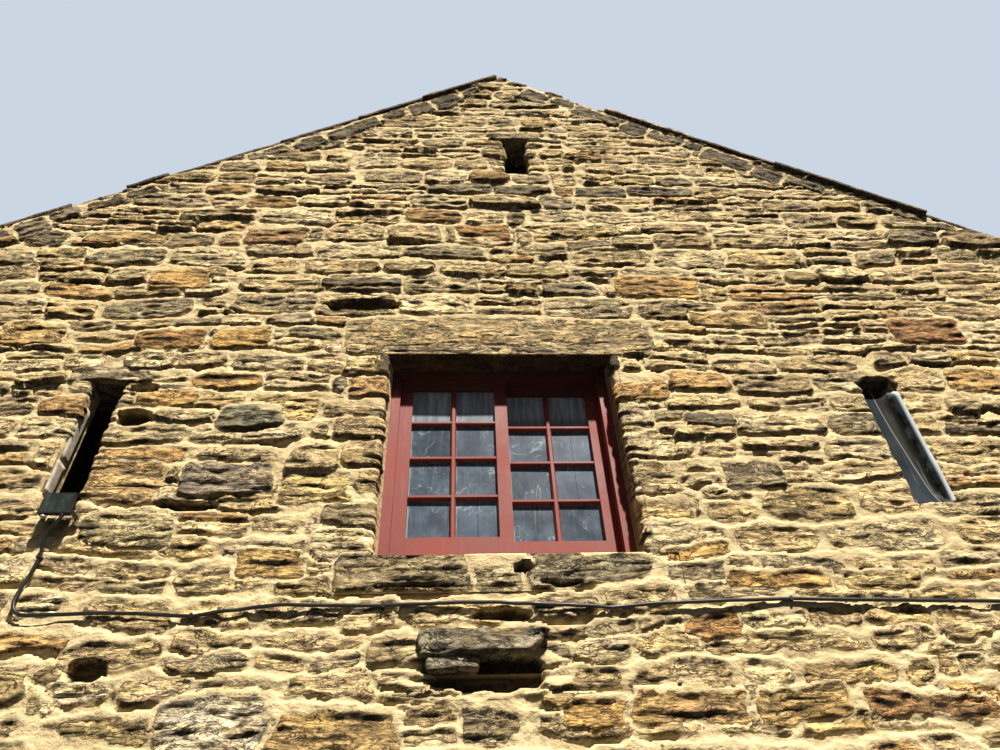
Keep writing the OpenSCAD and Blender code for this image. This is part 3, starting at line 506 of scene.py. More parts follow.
class StoneLayout:
    def __init__(self, seed):
        self.random = np.random.default_rng(seed)
        self.rows = []

    def add(self, s, z, halfS, halfZ, turn=0.0, proud=None, tone=None, rank=0.0, corner=None, rough=1.0):
        random = self.random
        if tone is None:
            tone = pickTone(random)
        if proud is None:
            proud = random.uniform(0.008, 0.024) + (0.012 if random.random() < 0.14 else 0.0)
            proud = proud * 0.5 + 0.002 if random.random() < 0.25 else proud
        if corner is None:
            corner = min(halfS, halfZ) * random.uniform(0.40, 0.95)
        taper = random.uniform(-0.18, 0.18) if rank < 0.03 else random.uniform(-0.05, 0.05)
        lens = random.uniform(0.0, 0.32) if rank < 0.03 else 0.05
        self.rows.append([s, z, halfS, halfZ, math.radians(turn), proud, *tone, rank, corner, rough,
                          random.uniform(-1, 1), random.uniform(-1, 1), taper, random.uniform(0.019, 0.042),
                          lens])

    def addRow(self, s0, s1, z0, z1, stoneLength, thinShare):
        # one course between two ends; some places hold two thin stones, and the joints get wider
        # towards the ground
        random = self.random
        gap = rubbleSet["joint"] + rubbleSet["wideJoint"] * min(max((4.6 - z0) / 1.8, 0.0), 1.0)
        height = z1 - z0
        s = s0
        while s < s1 - 0.05:
            length = random.uniform(*stoneLength) * (0.75 + 2.2 * height)
            if s1 - s - length < stoneLength[0] * 0.55:
                length = s1 - s
            middle, half = s + length / 2, length / 2 - gap / 2
            if height > 0.105 and random.random() < thinShare:
                share = random.uniform(0.38, 0.62)
                if random.random() < 0.35:
                    cut = random.uniform(0.35, 0.65)
                    self.addThin(s, s + length * cut, z0, z0 + height * share)
                    self.addThin(s + length * cut, s + length, z0, z0 + height * share)
                else:
                    self.addThin(s, s + length, z0, z0 + height * share)
                self.addThin(s, s + length, z0 + height * share, z1)
            else:
                lift = random.uniform(-0.012, 0.012)
                self.add(middle, (z0 + z1) / 2 + lift, half, height / 2 - gap / 2 * random.uniform(0.4, 1.9),
                         random.uniform(-3.0, 3.0))
            s += length

    def addThin(self, s0, s1, z0, z1):
        gap = rubbleSet["joint"] * 0.8
        self.add((s0 + s1) / 2, (z0 + z1) / 2, (s1 - s0) / 2 - gap / 2, (z1 - z0) / 2 - gap / 2,
                 self.random.uniform(-2.5, 2.5))

    def addBlock(self, s0, s1, z0, z1, courseRange, stoneLength, thinShare):
        # courses of uneven height that fill a block of wall exactly
        heights = []
        while sum(heights) < z1 - z0:
            heights.append(self.random.uniform(*courseRange))
        heights = np.array(heights) * (z1 - z0) / sum(heights)
        z = z0
        for height in heights:
            edge0 = s0 + self.random.uniform(-0.07, 0.07)
            edge1 = s1 + self.random.uniform(-0.07, 0.07)
            self.addRow(edge0, edge1, z, z + height, stoneLength, thinShare)
            z += height


# Openings of the walls, in each wall's own measures: middle, bottom, width at the face, height
splay, jambWrap = 0.022, 0.13
frameLow, frameHigh = boxOf("front_window_frame")
slitGlassLow, slitGlassHigh = boxOf("right_slit_glass")
windowOpening = {"s": (frameLow[0] + frameHigh[0]) / 2, "z": frameLow[2],
                 "w": frameHigh[0] - frameLow[0] + 2 * splay, "h": frameHigh[2] - frameLow[2]}
slitSpread = (slitGlassLow[0] + slitGlassHigh[0]) / 2 - windowOpening["s"]
slitShape = {"z": slitGlassLow[2], "w": slitGlassHigh[0] - slitGlassLow[0],
             "h": slitGlassHigh[2] - slitGlassLow[2]}
slitOpenings = [{"s": windowOpening["s"] + side * slitSpread, **slitShape} for side in (-1, 1)]
ventOpening = {"s": 0.067, "z": 6.46, "w": 0.195, "h": 0.49}
sideFrameLow, sideFrameHigh = boxOf("right_window_frames")
sideWindowS = sideFrameHigh[1] - (windowOpening["w"] / 2 - splay)
sideOpenings = [{**windowOpening, "s": side * sideWindowS, "z": z}
                for side in (-1, 1) for z in (sideFrameLow[2], windowOpening["z"])]
doorLow, doorHigh = boxOf("door_frame")
doorOpening = {"s": 0.0, "z": 0.0, "w": doorHigh[1] - doorLow[1], "h": doorHigh[2]}

# The photographed gable's stonework turns round the edges of its openings and runs back into them
arris = rubbleSet["arris"]
frontWindow = {**windowOpening, "z": windowOpening["z"] - splay, "h": windowOpening["h"] + splay,
               "splay": splay, "reveal": frameLow[1] + halfLength, "headTurn": arris}
frontOpenings = [frontWindow]
frontOpenings += [{**hole, "splay": 0.0, "reveal": jambWrap} for hole in (*slitOpenings, ventOpening)]
frontOpenings[2].update(reveal=slitGlassLow[1] + halfLength + 0.02, flatSide="right")
for hole in frontOpenings:
    lean = math.atan2(hole["splay"], hole["reveal"])
    hole["sideTurn"] = arris * math.tan((math.pi / 2 - lean) / 2)


def layFrontGable(layout, run):
    middle = run["middle"]
    window = windowOpening
    left, right = window["s"] - window["w"] / 2, window["s"] + window["w"] / 2
    wrap = jambWrap
    sill, head = window["z"] - 0.02, window["z"] + window["h"]
    lintelTop = head + 0.29
    outer = run["half"] - 0.32
    # below the window: large blocky stones
    for s0, s1 in ((-outer, -1.9), (-1.9, -0.1), (-0.1, 1.6), (1.6, outer)):
        layout.addBlock(middle + s0, middle + s1, 0.0, 2.35, (0.15, 0.24), (0.22, 0.46), 0.20)
        layout.addBlock(middle + s0, middle + s1, 2.35, sill, (0.13, 0.215), (0.21, 0.42), 0.26)
    # beside the window and the slits
    slitLeft, slitRight = window["s"] - slitSpread, window["s"] + slitSpread
    halfSlit = slitShape["w"] / 2
    spans = ((-outer, slitLeft - halfSlit + 0.06), (slitLeft + halfSlit - 0.06, left + wrap),
             (right - wrap, slitRight - halfSlit + 0.06), (slitRight + halfSlit - 0.06, outer))
    for s0, s1 in spans:
        layout.addBlock(middle + s0, middle + s1, sill, head, (0.125, 0.21), (0.21, 0.43), 0.26)
    for s0, s1 in ((-outer, left - 0.23), (right + 0.26, outer)):
        layout.addBlock(middle + s0, middle + s1, head, lintelTop, (0.12, 0.19), (0.21, 0.46), 0.28)
    # above the lintel the stones get thinner towards the apex
    for s0, s1 in ((-outer, -1.7), (-1.7, 0.1), (0.1, 1.9), (1.9, outer)):
        layout.addBlock(middle + s0, middle + s1, lintelTop, 6.0, (0.125, 0.22), (0.21, 0.50), 0.34)
    for s0, s1 in ((-2.9, -1.1), (-1.1, 0.5), (0.5, 2.9)):
        layout.addBlock(middle + s0, middle + s1, 6.0, apexHeight + 0.1, (0.12, 0.205), (0.20, 0.48), 0.34)


def layJambs(layout, run):
    # larger stones turn the edges of the window
    random = layout.random
    for side in (-1, 1):
        edge = windowOpening["s"] + side * windowOpening["w"] / 2
        z = windowOpening["z"] - 0.02
        while z < windowOpening["z"] + windowOpening["h"] - 0.05:
            height, length = random.uniform(0.12, 0.21), random.uniform(0.15, 0.32) + jambWrap
            layout.add(run["middle"] + edge + side * (length / 2 - jambWrap), z + height / 2,
                       length / 2 - 0.010, height / 2 - 0.010, random.uniform(-2.5, 2.5),
                       random.uniform(0.008, 0.024), rank=0.05, corner=random.uniform(0.025, 0.055))
            z += height


def layVerge(layout, run):
    # stones laid along the slope under the slates
    random = layout.random
    slopeLength = halfWidth / math.cos(roofPitch)
    for side in (-1, 1):
        along = 0.25
        while along < slopeLength - 0.35:
            length = random.uniform(0.16, 0.5)
            down = random.uniform(0.055, 0.115)
            if random.random() >= 0.28:
                mid = along + length / 2
                out = mid * math.cos(roofPitch) - down * math.sin(roofPitch)
                up = apexHeight - mid * math.sin(roofPitch) - down * math.cos(roofPitch)
                tone = np.array((0.28, 0.225, 0.135)) * random.uniform(0.55, 1.5)
                layout.add(run["middle"] + side * out, up, length / 2 - 0.012, down - 0.012,
                           -side * math.degrees(roofPitch), random.uniform(0.008, 0.018), tone, rank=0.06,
                           corner=0.03)
            along += length


# Stones of the photographed gable that stand out: middle, height, half sizes, turn, proudness and colour
orange, rust, ochre = (0.60, 0.37, 0.13), (0.44, 0.25, 0.095), (0.66, 0.49, 0.22)
darkGray, brown = (0.20, 0.165, 0.10), (0.49, 0.335, 0.14)
featureStones = [
    (-1.55, 5.68, 0.21, 0.095, 1, 0.014, (0.40, 0.25, 0.11)), (-2.47, 5.63, 0.26, 0.06, -2, 0.012, brown),
    (-2.04, 5.22, 0.18, 0.095, 1, 0.014, orange), (-1.95, 4.69, 0.19, 0.075, -1, 0.014, rust),
    (-1.56, 4.68, 0.16, 0.090, 1, 0.016, (0.54, 0.33, 0.12)), (-2.72, 4.73, 0.18, 0.095, 2, 0.014, brown),
    (-0.20, 5.74, 0.18, 0.085, 0, 0.012, rust), (0.48, 5.75, 0.24, 0.055, 0, 0.012, ochre),
    (0.87, 5.18, 0.27, 0.095, -1, 0.014, orange), (1.25, 4.90, 0.22, 0.070, 1, 0.012, brown),
    # the stone at 2.42 across is coloured darker: painted shadow of a tree
    (2.42, 4.78, 0.22, 0.115, 0, 0.014, (0.37, 0.20, 0.085)), (1.62, 5.46, 0.25, 0.090, 1, 0.012, ochre),
    (0.15, 5.32, 0.20, 0.060, 0, 0.014, (0.52, 0.40, 0.20)),
    (0.17, 5.57, 0.17, 0.050, 1, 0.010, (0.47, 0.36, 0.19)),
    (-1.94, 3.74, 0.18, 0.120, -2, 0.014, (0.56, 0.38, 0.17)), (-1.86, 4.25, 0.16, 0.048, -1, 0.012, orange),
    (-1.41, 4.13, 0.165, 0.080, 1, 0.014, (0.24, 0.22, 0.14)),
    (-1.45, 3.76, 0.225, 0.088, 1, 0.018, (0.36, 0.29, 0.19)),
    (-1.84, 3.48, 0.20, 0.075, 1, 0.012, (0.60, 0.49, 0.26)),
    (-1.18, 3.31, 0.155, 0.080, -2, 0.014, (0.52, 0.34, 0.13)), (-1.02, 3.70, 0.17, 0.085, -1, 0.014, ochre),
    (-1.26, 2.60, 0.20, 0.150, 3, 0.018, (0.74, 0.63, 0.43)), (-0.80, 2.56, 0.23, 0.105, -2, 0.016, brown),
    (0.16, 2.66, 0.11, 0.058, 2, 0.012, orange), (0.53, 2.67, 0.22, 0.060, -1, 0.012, (0.55, 0.36, 0.15)),
    (0.98, 2.65, 0.19, 0.055, 2, 0.012, brown), (1.50, 2.62, 0.25, 0.052, -2, 0.012, rust),
    (1.05, 3.17, 0.21, 0.058, -1, 0.014, orange), (1.50, 3.16, 0.19, 0.052, 1, 0.012, ochre),
    (0.72, 2.96, 0.12, 0.052, 2, 0.012, rust), (0.97, 4.07, 0.13, 0.050, 0, 0.020, darkGray),
    (1.09, 3.75, 0.16, 0.080, 0, 0.016, (0.34, 0.27, 0.155)), (0.71, 3.345, 0.155, 0.045, 2, 0.012, orange),
    (0.70, 3.225, 0.14, 0.060, 1, 0.012, (0.40, 0.32, 0.20)),
    (-0.60, 3.262, 0.30, 0.088, -1, 0.018, (0.40, 0.315, 0.175)),
    (-0.19, 3.225, 0.105, 0.060, 1, 0.010, (0.55, 0.44, 0.25)),
    (0.22, 3.264, 0.29, 0.070, 0, 0.020, (0.33, 0.275, 0.165)),
    (-0.95, 5.18, 0.25, 0.045, 1, 0.024, darkGray),
]


def buildLayout():
    layout = StoneLayout(rubbleSet["seed"])
    layFrontGable(layout, frontRun)
    layJambs(layout, frontRun)
    layVerge(layout, frontRun)
    for s, z, halfS, halfZ, turn, proud, tone in featureStones:
        layout.add(frontMiddle + s, z, halfS, halfZ, turn, proud, tone, rank=0.08,
                   corner=min(halfS, halfZ) * 0.45)
    # the grey lip of a small drain shows under the window
    layout.add(frontMiddle - 0.076, 3.289, 0.036, 0.014, 0.0, 0.070, (0.30, 0.29, 0.25), rank=0.20,
               corner=0.008, rough=0.2)
    # the front lintel is one long rough slab
    low, high = boxOf("front_window_lintel")
    middle, half = (low + high) / 2, (high - low) / 2
    layout.add(frontMiddle + middle[0], middle[2] - 0.01, half[0], half[2], 0.0, 0.012, (0.56, 0.41, 0.205),
               rank=0.15, corner=0.05, rough=0.35)
    # the stone's soffit runs back to the window's frame and is coloured dark: painted shade
    layout.add(frontMiddle + windowOpening["s"], low[2] - 0.02, windowOpening["w"] / 2 + 0.06, 0.13, 0.0,
               0.010, (0.15, 0.115, 0.07), rank=0.16, corner=0.02, rough=0.5)
    return np.array(layout.rows)


stones = buildLayout()
print("stones laid:", len(stones))


# Hollows of the photographed gable: middle, height, half sizes, depth, and whether mortar rings it
hollows = [
    (-1.985, 4.118, 0.080, 0.052, 0.085, True), (-2.005, 4.325, 0.085, 0.030, 0.075, False),
    (-0.076, 3.256, 0.036, 0.020, 0.085, False), (-0.912, 4.992, 0.205, 0.046, 0.045, False),
    (-1.600, 3.600, 0.150, 0.020, 0.045, False), (-0.700, 5.610, 0.135, 0.032, 0.050, False),
    (1.965, 4.352, 0.100, 0.056, 0.085, False), (-1.800, 2.840, 0.075, 0.048, 0.055, False),
    (-0.240, 2.800, 0.235, 0.070, 0.050, True), (-0.170, 3.040, 0.125, 0.026, 0.040, False),
    (-0.550, 3.182, 0.170, 0.011, 0.028, False), (0.100, 3.186, 0.100, 0.014, 0.030, False),
]


def gableTop(u):
    return apexHeight - np.abs(u) * math.tan(roofPitch) - 0.004


def rubbleField(s, z):
    # height of the stonework over the wall's plane, distance inside a stone's edge, colour and cavity, the
    # amount of painted shade
    wobble = rubbleSet["wobble"] * (1.0 + 0.7 * smooth(z, 3.5, 2.9))
    ws = (s + wobble * 1.4 * latticeNoise(s, z, 0.16, 0.10, 1)
          + wobble * 0.55 * latticeNoise(s, z, 0.05, 0.035, 2))
    wz = (z + 0.034 * latticeNoise(s, z, 0.75, 0.5, 3) + wobble * 0.8 * latticeNoise(s, z, 0.15, 0.10, 4)
          + wobble * 0.45 * latticeNoise(s, z, 0.045, 0.030, 5))
    best, second, firstRank = (np.full(s.shape, -0.05) for _ in range(3))
    owner = np.zeros(s.shape, int)
    rise = np.zeros(s.shape)
    columns, rows = s[0], z[:, 0]
    for index, stone in enumerate(stones):
        cs, cz, halfS, halfZ, turn = stone[:5]
        rank, corner, taper, lens = stone[[9, 10, 14, 16]]
        reach = math.hypot(halfS, halfZ) + 0.05 if abs(turn) > 0.2 else None
        reachS, reachZ = (reach, reach) if reach else (halfS + 0.06, halfZ + 0.09)
        c0, c1 = np.searchsorted(columns, (cs - reachS, cs + reachS))
        r0, r1 = np.searchsorted(rows, (cz - reachZ, cz + reachZ))
        if c0 >= c1 or r0 >= r1:
            continue
        part = (slice(r0, r1), slice(c0, c1))
        ds, dz = ws[part] - cs, wz[part] - cz
        a, b = ds * math.cos(turn) + dz * math.sin(turn), -ds * math.sin(turn) + dz * math.cos(turn)
        away = np.clip(a / halfS, -1.15, 1.15)
        b = b / ((1.0 + taper * away) * (1.0 - lens * away * away))
        qa, qb = np.abs(a) - (halfS - corner), np.abs(b) - (halfZ - corner)
        outside = np.minimum(np.maximum(qa, qb), 0) + np.hypot(np.maximum(qa, 0), np.maximum(qb, 0))
        inside = -(outside - corner)
        ranked = inside + np.where(inside > -0.012, rank, 0.0)
        better = ranked > firstRank[part]
        oldRank, oldBest = firstRank[part], best[part]
        second[part] = np.where(better, oldRank, np.maximum(second[part], ranked))
        best[part] = np.where(better, inside, oldBest)
        firstRank[part] = np.where(better, ranked, oldRank)
        owner[part] = np.where(better, index, owner[part])
        rise[part] = np.where(better, b / halfZ, rise[part])
    edge = np.minimum(best, (firstRank - second) / 2 - rubbleSet["joint"] * 0.4)
    edge = np.where(second < -0.045, best, edge)
    mine = stones[owner]
    # lower down the pointing is nearly flush with the stones
    flush = smooth(z, 4.4, 3.0)
    proud, rough = mine[..., 5] * (1.0 - 0.5 * flush), mine[..., 11]
    tiltS, tiltZ = mine[..., 12], mine[..., 13]
    offS = (s - mine[..., 0]) / mine[..., 2]
    rise = np.clip(rise, -1.3, 1.3)
    upper = smooth(rise, -0.3, 1.0)
    # mortar is smeared over the upper edges and washed out under the lower ones
    smear = rubbleSet["smear"] * np.clip(upper * 0.6 + 1.3 * latticeNoise(s, z, 0.24, 0.13, 13), 0.0, 1.4)
    edge = edge - smear
    body = smooth(edge, -0.003, rubbleSet["sharpEdge"] + rubbleSet["softEdge"] * upper)
    # bedding: each stone is split into layers that stand forward or back by themselves
    shift, layer = tiltS * 7.0, mine[..., 15]
    lean = mine[..., 4] + 0.02 * tiltS
    bed = (z - lean * (s - mine[..., 0]) + 0.010 * latticeNoise(s + shift, z, 0.10, 0.09, 6)
           + 0.004 * latticeNoise(s, z, 0.03, 0.03, 11)) / layer + tiltZ * 40.0
    step = np.floor(bed)
    within = bed - step
    forward, above = (latticeNoise(s + shift, level, 0.11, 1.0, 7) for level in (step, step + 1))
    following = smooth(within, 0.76, 1.0)
    ledges = forward + (above - forward) * following - 0.5 * (within - 0.5 - following)
    lumps = 0.0045 * latticeNoise(s, z, 0.06, 0.045, 9) + 0.0035 * latticeNoise(s, z, 0.030, 0.022, 18)
    face = (proud * (1.0 - 0.22 * rise) + rubbleSet["ledge"] * rough * ledges + 1.1 * lumps
            + 0.004 * tiltS * offS)
    washed = smooth(latticeNoise(s, z, 0.30, 0.16, 14) - 0.9 * rise, 1.05, 1.45)
    washed = washed * (1 - body) * (1 - 0.6 * flush)
    mortar = (rubbleSet["mortarLow"] + 0.003 * flush + rubbleSet["mortarRise"] * upper
              + 0.003 * latticeNoise(s, z, 0.06, 0.05, 10) + 0.0014 * latticeNoise(s, z, 0.02, 0.02, 12)
              - 0.026 * washed)
    height = mortar * (1 - body) + np.maximum(face, 0.002) * body
    layerTone = 1.0 + 0.16 * latticeNoise(s + shift, step, 0.30, 1.0, 15) * body
    warmth = 1.0 - 0.12 * latticeNoise(s - shift, step, 0.22, 1.0, 16)
    tone = mine[..., 6:9] * layerTone[..., None]
    tone[..., 2] *= warmth
    tone *= 1.0 - 0.36 * smooth(gableTop(s - frontMiddle) - z, 0.42, 0.04)[..., None]
    tone *= 1.0 - 0.06 * smooth(z, 4.4, 5.0)[..., None]
    # darkened where the layer above hangs over and where the mortar is washed out: painted shade, with some
    # dirt
    overhang = (above - forward) * 0.9 * smooth(within, 0.25, 1.0) - ledges * 0.28
    cavity = np.clip(overhang, 0, 1) * body + 0.8 * washed
    for middle, level, halfS, halfZ, depth, ringed in hollows:
        off = np.abs(s - frontMiddle - middle)
        near = off < halfS * 1.6
        away = (off / halfS) ** 2.6 + (np.abs(z - level) / halfZ) ** 2.6
        away = away + 0.35 * latticeNoise(s, z, 0.05, 0.03, 17)
        sunk = smooth(away, 1.15, 0.75) * near
        height = height - sunk * depth
        # hollows are darkened, the deepest nearly black: painted shade
        cavity = np.maximum(cavity, (0.95 if depth > 0.08 else 0.75) * sunk)
        if ringed:
            ring = smooth(away, 0.9, 1.1) * smooth(away, 3.2, 2.2) * near
            edge = np.where(ring > 0.4, -0.012, edge)
            height = height + 0.008 * ring
    return height, edge, tone, cavity


def wallPoint(run, u, out, z):
    # a point on a wall; near its ends the face turns round the building's corner
    half, rounding = run["half"], rubbleSet["cornerRounding"]
    past = np.clip((np.abs(u) - (half - rounding)) / rounding, 0.0, 1.0)
    angle = past * math.pi / 4 * np.sign(u)
    along = np.where(past > 0, np.sign(u) * (half - rounding), u)
    along = along + np.sin(angle) * (rounding + out) * (past > 0)
    back = np.where(past > 0, run["away"] - rounding + np.cos(angle) * (rounding + out), run["away"] + out)
    turn = math.radians(run["turn"])
    x = along * math.cos(turn) + back * math.sin(turn)
    y = along * math.sin(turn) - back * math.cos(turn)
    return np.stack([x, y, z], axis=-1)


def gridLines(low, high, keys, step):
    # lines between two ends that pass through every key, with steps no larger than asked at each place
    marks = sorted({round(k, 5) for k in [low, high, *keys] if low - 1e-6 <= k <= high + 1e-6})
    lines = []
    for a, b in zip(marks, marks[1:]):
        count = max(1, int(math.ceil((b - a) / step((a + b) / 2))))
        lines.extend(np.linspace(a, b, count, endpoint=False))
    lines.append(high)
    return np.array(lines)


def meshFrom(name, points, faces, material, attributes=None, smoothFaces=True):
    # an attribute of four values a point is a colour
    mesh = bpy.data.meshes.new(name)
    points = np.asarray(points, dtype=np.float32)
    faces = np.asarray(faces, dtype=np.int32)
    mesh.vertices.add(len(points))
    mesh.vertices.foreach_set("co", points.ravel())
    mesh.loops.add(faces.size)
    mesh.loops.foreach_set("vertex_index", faces.ravel())
    mesh.polygons.add(len(faces))
    mesh.polygons.foreach_set("loop_start", np.arange(0, faces.size, faces.shape[1], dtype=np.int32))
    mesh.polygons.foreach_set("use_smooth", np.full(len(faces), smoothFaces))
    mesh.update(calc_edges=True)
    for key, values in (attributes or {}).items():
        kind, field = ("FLOAT_COLOR", "color") if key == "stoneColor" else ("FLOAT", "value")
        attribute = mesh.attributes.new(key, kind, "POINT")
        attribute.data.foreach_set(field, np.asarray(values, dtype=np.float32).ravel())
    mesh.materials.append(material)
    return addObject(name, mesh)


def finishPiece(piece, slot, *replaced):
    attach(piece, "root")
    if replaced:
        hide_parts(*replaced)
    print(piece.name, len(piece.data.loops) - 2 * len(piece.data.polygons), "triangles")


def gridQuads(rows, columns):
    # the four points of each cell of a grid of points
    index = np.arange(rows * columns).reshape(rows, columns)
    return np.stack([index[:-1, :-1], index[:-1, 1:], index[1:, 1:], index[1:, :-1]], axis=-1)


def opaque(tone):
    return np.concatenate([tone, np.ones(tone.shape[:-1] + (1,))], axis=-1).reshape(-1, 4)


def skinBlock(name, run, columns, rows, openings, topLine):
    # one block of stonework between two columns and two rows, with holes and skirts along its edges
    u, z = np.meshgrid(columns, rows)
    height, edge, tone, cavity = rubbleField(u + run["middle"], z)
    lift = np.minimum(z, topLine(u))
    midU, midZ = (columns[1:] + columns[:-1]) / 2, (rows[1:] + rows[:-1]) / 2
    inHole = z[:-1, :-1] >= np.minimum(topLine(u[:-1, :-1]), topLine(u[:-1, 1:])) - 0.0005
    for hole in openings:
        aside, above = np.abs(midU - hole["s"]), midZ - hole["z"] - hole["h"]
        inU, inZ = aside < hole["w"] / 2, (midZ > hole["z"]) & (above < 0)
        widerU = aside < hole["w"] / 2 + hole["sideTurn"]
        tallerZ = (midZ > hole["z"]) & (above < hole.get("headTurn", 0.0))
        inHole |= (inZ[:, None] & widerU[None, :]) | (tallerZ[:, None] & inU[None, :])
    quads = gridQuads(*u.shape)
    shown = ~inHole
    points = wallPoint(run, u, height, lift)
    behind = wallPoint(run, u, np.full(u.shape, -0.012), lift)
    # skirts: wherever a shown cell meets a hole or the block's edge, a face runs back to the wall
    faces = [quads[shown]]
    padded = np.pad(shown, 1)
    count = u.size
    for number, (dr, dc) in enumerate(((-1, 0), (0, 1), (1, 0), (0, -1))):
        neighbour = padded[1 + dr:padded.shape[0] - 1 + dr, 1 + dc:padded.shape[1] - 1 + dc]
        lonely = quads[shown & ~neighbour]
        a, b = lonely[:, number], lonely[:, (number + 1) % 4]
        faces.append(np.stack([b, a, a + count, b + count], axis=-1))
    faces = np.concatenate(faces)
    allPoints = np.concatenate([points.reshape(-1, 3), behind.reshape(-1, 3)])
    used = np.unique(faces)
    renumber = np.zeros(2 * count, int)
    renumber[used] = np.arange(len(used))
    attributes = {"edge": np.tile(edge.ravel(), 2)[used], "cavity": np.tile(cavity.ravel(), 2)[used],
                  "stoneColor": np.tile(opaque(tone), (2, 1))[used]}
    finishPiece(meshFrom(name, allPoints[used], renumber[faces], rubbleMaterial, attributes), "rubble")


# how far the right reveal's plaster is darkened: painted shade
rightRevealShade = 0.55


def revealStrip(name, run, hole, side, along):
    # stonework that turns from the face over a rounded arris and runs back into an opening
    isHead = side == "head"
    lean = 0.0 if isHead else math.atan2(hole["splay"], hole["reveal"])
    turned, radius = math.pi / 2 - lean, arris
    tangent = radius * math.tan(turned / 2)
    straight = hole["reveal"] - tangent * math.cos(lean)
    arc = np.linspace(0.0, 1.0, 5)
    back = np.linspace(0.0, 1.0, max(3, int(straight / 0.012)))[1:]
    angle = np.concatenate([arc * turned, np.full(len(back), turned)])
    run0 = np.concatenate([arc * radius * turned, radius * turned + back * straight])
    depthBase = np.concatenate([radius - radius * np.cos(arc * turned),
                                radius - radius * math.cos(turned) + back * straight * math.sin(turned)])
    acrossBase = np.concatenate([radius * np.sin(arc * turned),
                                 radius * math.sin(turned) + back * straight * math.cos(turned)])
    t, grid = np.meshgrid(np.arange(len(angle)), along)
    angle, run0, depthBase, acrossBase = angle[t], run0[t], depthBase[t], acrossBase[t]
    # mortar is spread over the stones inside the reveal
    ragged = 0.018 * latticeNoise(grid, run0, 0.09, 0.05, 21)
    plaster = smooth(run0 + ragged, radius * turned + 0.030, radius * turned + 0.055) * (not isHead)
    if isHead:
        edgeZ = hole["z"] + hole["h"] + tangent
        height, edge, tone, cavity = sampleField(grid + run["middle"], edgeZ - run0)
        height = np.where(run0 > radius, height * 0.5, height)
        place = (grid, height * np.cos(angle) - depthBase, edgeZ - acrossBase - height * np.sin(angle))
    else:
        sign = 1 if side == "left" else -1
        edgeU = hole["s"] - sign * (hole["w"] / 2 + tangent)
        height, edge, tone, cavity = sampleField(edgeU + sign * run0 + run["middle"], grid)
        height = np.where(run0 > radius * turned, height * 0.75, height) * (1 - plaster) + 0.004 * plaster
        if side == hole.get("flatSide"):
            height *= 1 - 0.9 * smooth(run0, 0.0, radius)
        place = (edgeU + sign * (acrossBase + height * np.sin(angle)), height * np.cos(angle) - depthBase,
                 grid)
    edge = np.where(plaster > 0.5, -0.012, edge)
    # the plaster of the right reveal is darkened: painted shade
    if side == "right":
        cavity = np.maximum(cavity, rightRevealShade * plaster)
    quads = gridQuads(*t.shape).reshape(-1, 4)
    if side != "left":
        quads = quads[:, ::-1]
    attributes = {"edge": edge, "cavity": cavity, "stoneColor": opaque(tone)}
    points = wallPoint(run, *place).reshape(-1, 3)
    finishPiece(meshFrom(name, points, quads, rubbleMaterial, attributes), "rubble")


def sampleField(s, z):
    # the field on a small set of points whose rows or columns may run backwards
    if s[0, 0] == s[0, -1]:
        return [np.swapaxes(part, 0, 1) for part in sampleField(s.T, z.T)]
    order = 1 if s[0, -1] >= s[0, 0] else -1
    flip = 1 if z[-1, 0] >= z[0, 0] else -1
    found = rubbleField(s[::flip, ::order], z[::flip, ::order])
    return [part[::flip, ::order] for part in found]


def coverWall(run, topLine, columnStep, rowStep, splits, stop, title):
    # blocks of stonework between the levels in splits, and the openings' reveals unless it stops under them
    openings = frontOpenings
    columnKeys = [hole["s"] + side * (hole["w"] / 2 + more) for hole in openings for side in (-1, 1)
                  for more in (0.0, hole["sideTurn"])]
    rowKeys = [hole["z"] + up * hole["h"] + more for hole in openings for up in (0, 1)
               for more in (0.0, up * hole.get("headTurn", 0.0))] + list(splits)
    half = run["half"]
    bend = half - rubbleSet["cornerRounding"]
    columns = gridLines(-half, half, [*columnKeys, bend, -bend],
                        lambda u: 0.012 if abs(u) > bend else columnStep)
    top = stop or float(np.max(topLine(np.array([0.0, half]))))
    rows = gridLines(splits[0], top, rowKeys, rowStep)
    for number, (z0, z1) in enumerate(zip(splits, [*splits[1:], top])):
        r0, r1 = np.searchsorted(rows, (z0 - 1e-4, z1 - 1e-4))
        skinBlock(f"{run['name']}_{title}_{number + 1}", run, columns, rows[r0:r1 + 1], openings, topLine)
    for number, hole in enumerate([] if stop else openings):
        between = rows[(rows > hole["z"] - 1e-4) & (rows < hole["z"] + hole["h"] + 1e-4)]
        across = columns[np.abs(columns - hole["s"]) < hole["w"] / 2 + 1e-4]
        for side, along in (("left", between), ("right", between), ("head", across)):
            if side != "head" or "headTurn" in hole:
                revealStrip(f"{run['name']}_reveal_{side}_{number + 1}", run, hole, side, along)


lowStep, frontRow = rubbleSet["lowStep"], rubbleSet["frontRow"]
coverWall(frontRun, gableTop, lowStep, lambda z: lowStep, [0.0], 2.3, "low_rubble")
coverWall(frontRun, gableTop, rubbleSet["frontColumn"], lambda z: frontRow + max(0.0, z - 5.0) * 0.0011,
          [2.3, 3.7, 5.1, 6.3], None, "rubble")
print("stonework done")


# The wall behind the stonework is open at its face, so that hollows and gaps can be deep

def openAtFace(node, name):
    shell = bmesh.new()
    shell.from_mesh(nodes[node].data)
    bmesh.ops.remove_doubles(shell, verts=shell.verts, dist=0.0001)
    face = -halfLength + 0.001
    front = [f for f in shell.faces if all(v.co.y < face for v in f.verts)]
    bmesh.ops.delete(shell, geom=front, context="FACES")
    mesh = bpy.data.meshes.new(name)
    shell.to_mesh(mesh)
    shell.free()
    mesh.materials.clear()
    mesh.materials.append(coreMaterial)
    finishPiece(addObject(name, mesh), "rubble", node)


openAtFace("front_gable_wall", "front_wall_core")
openAtFace("front_window_sill", "front_sill_core")


# Separate stones for the walls that the photograph doesn't show

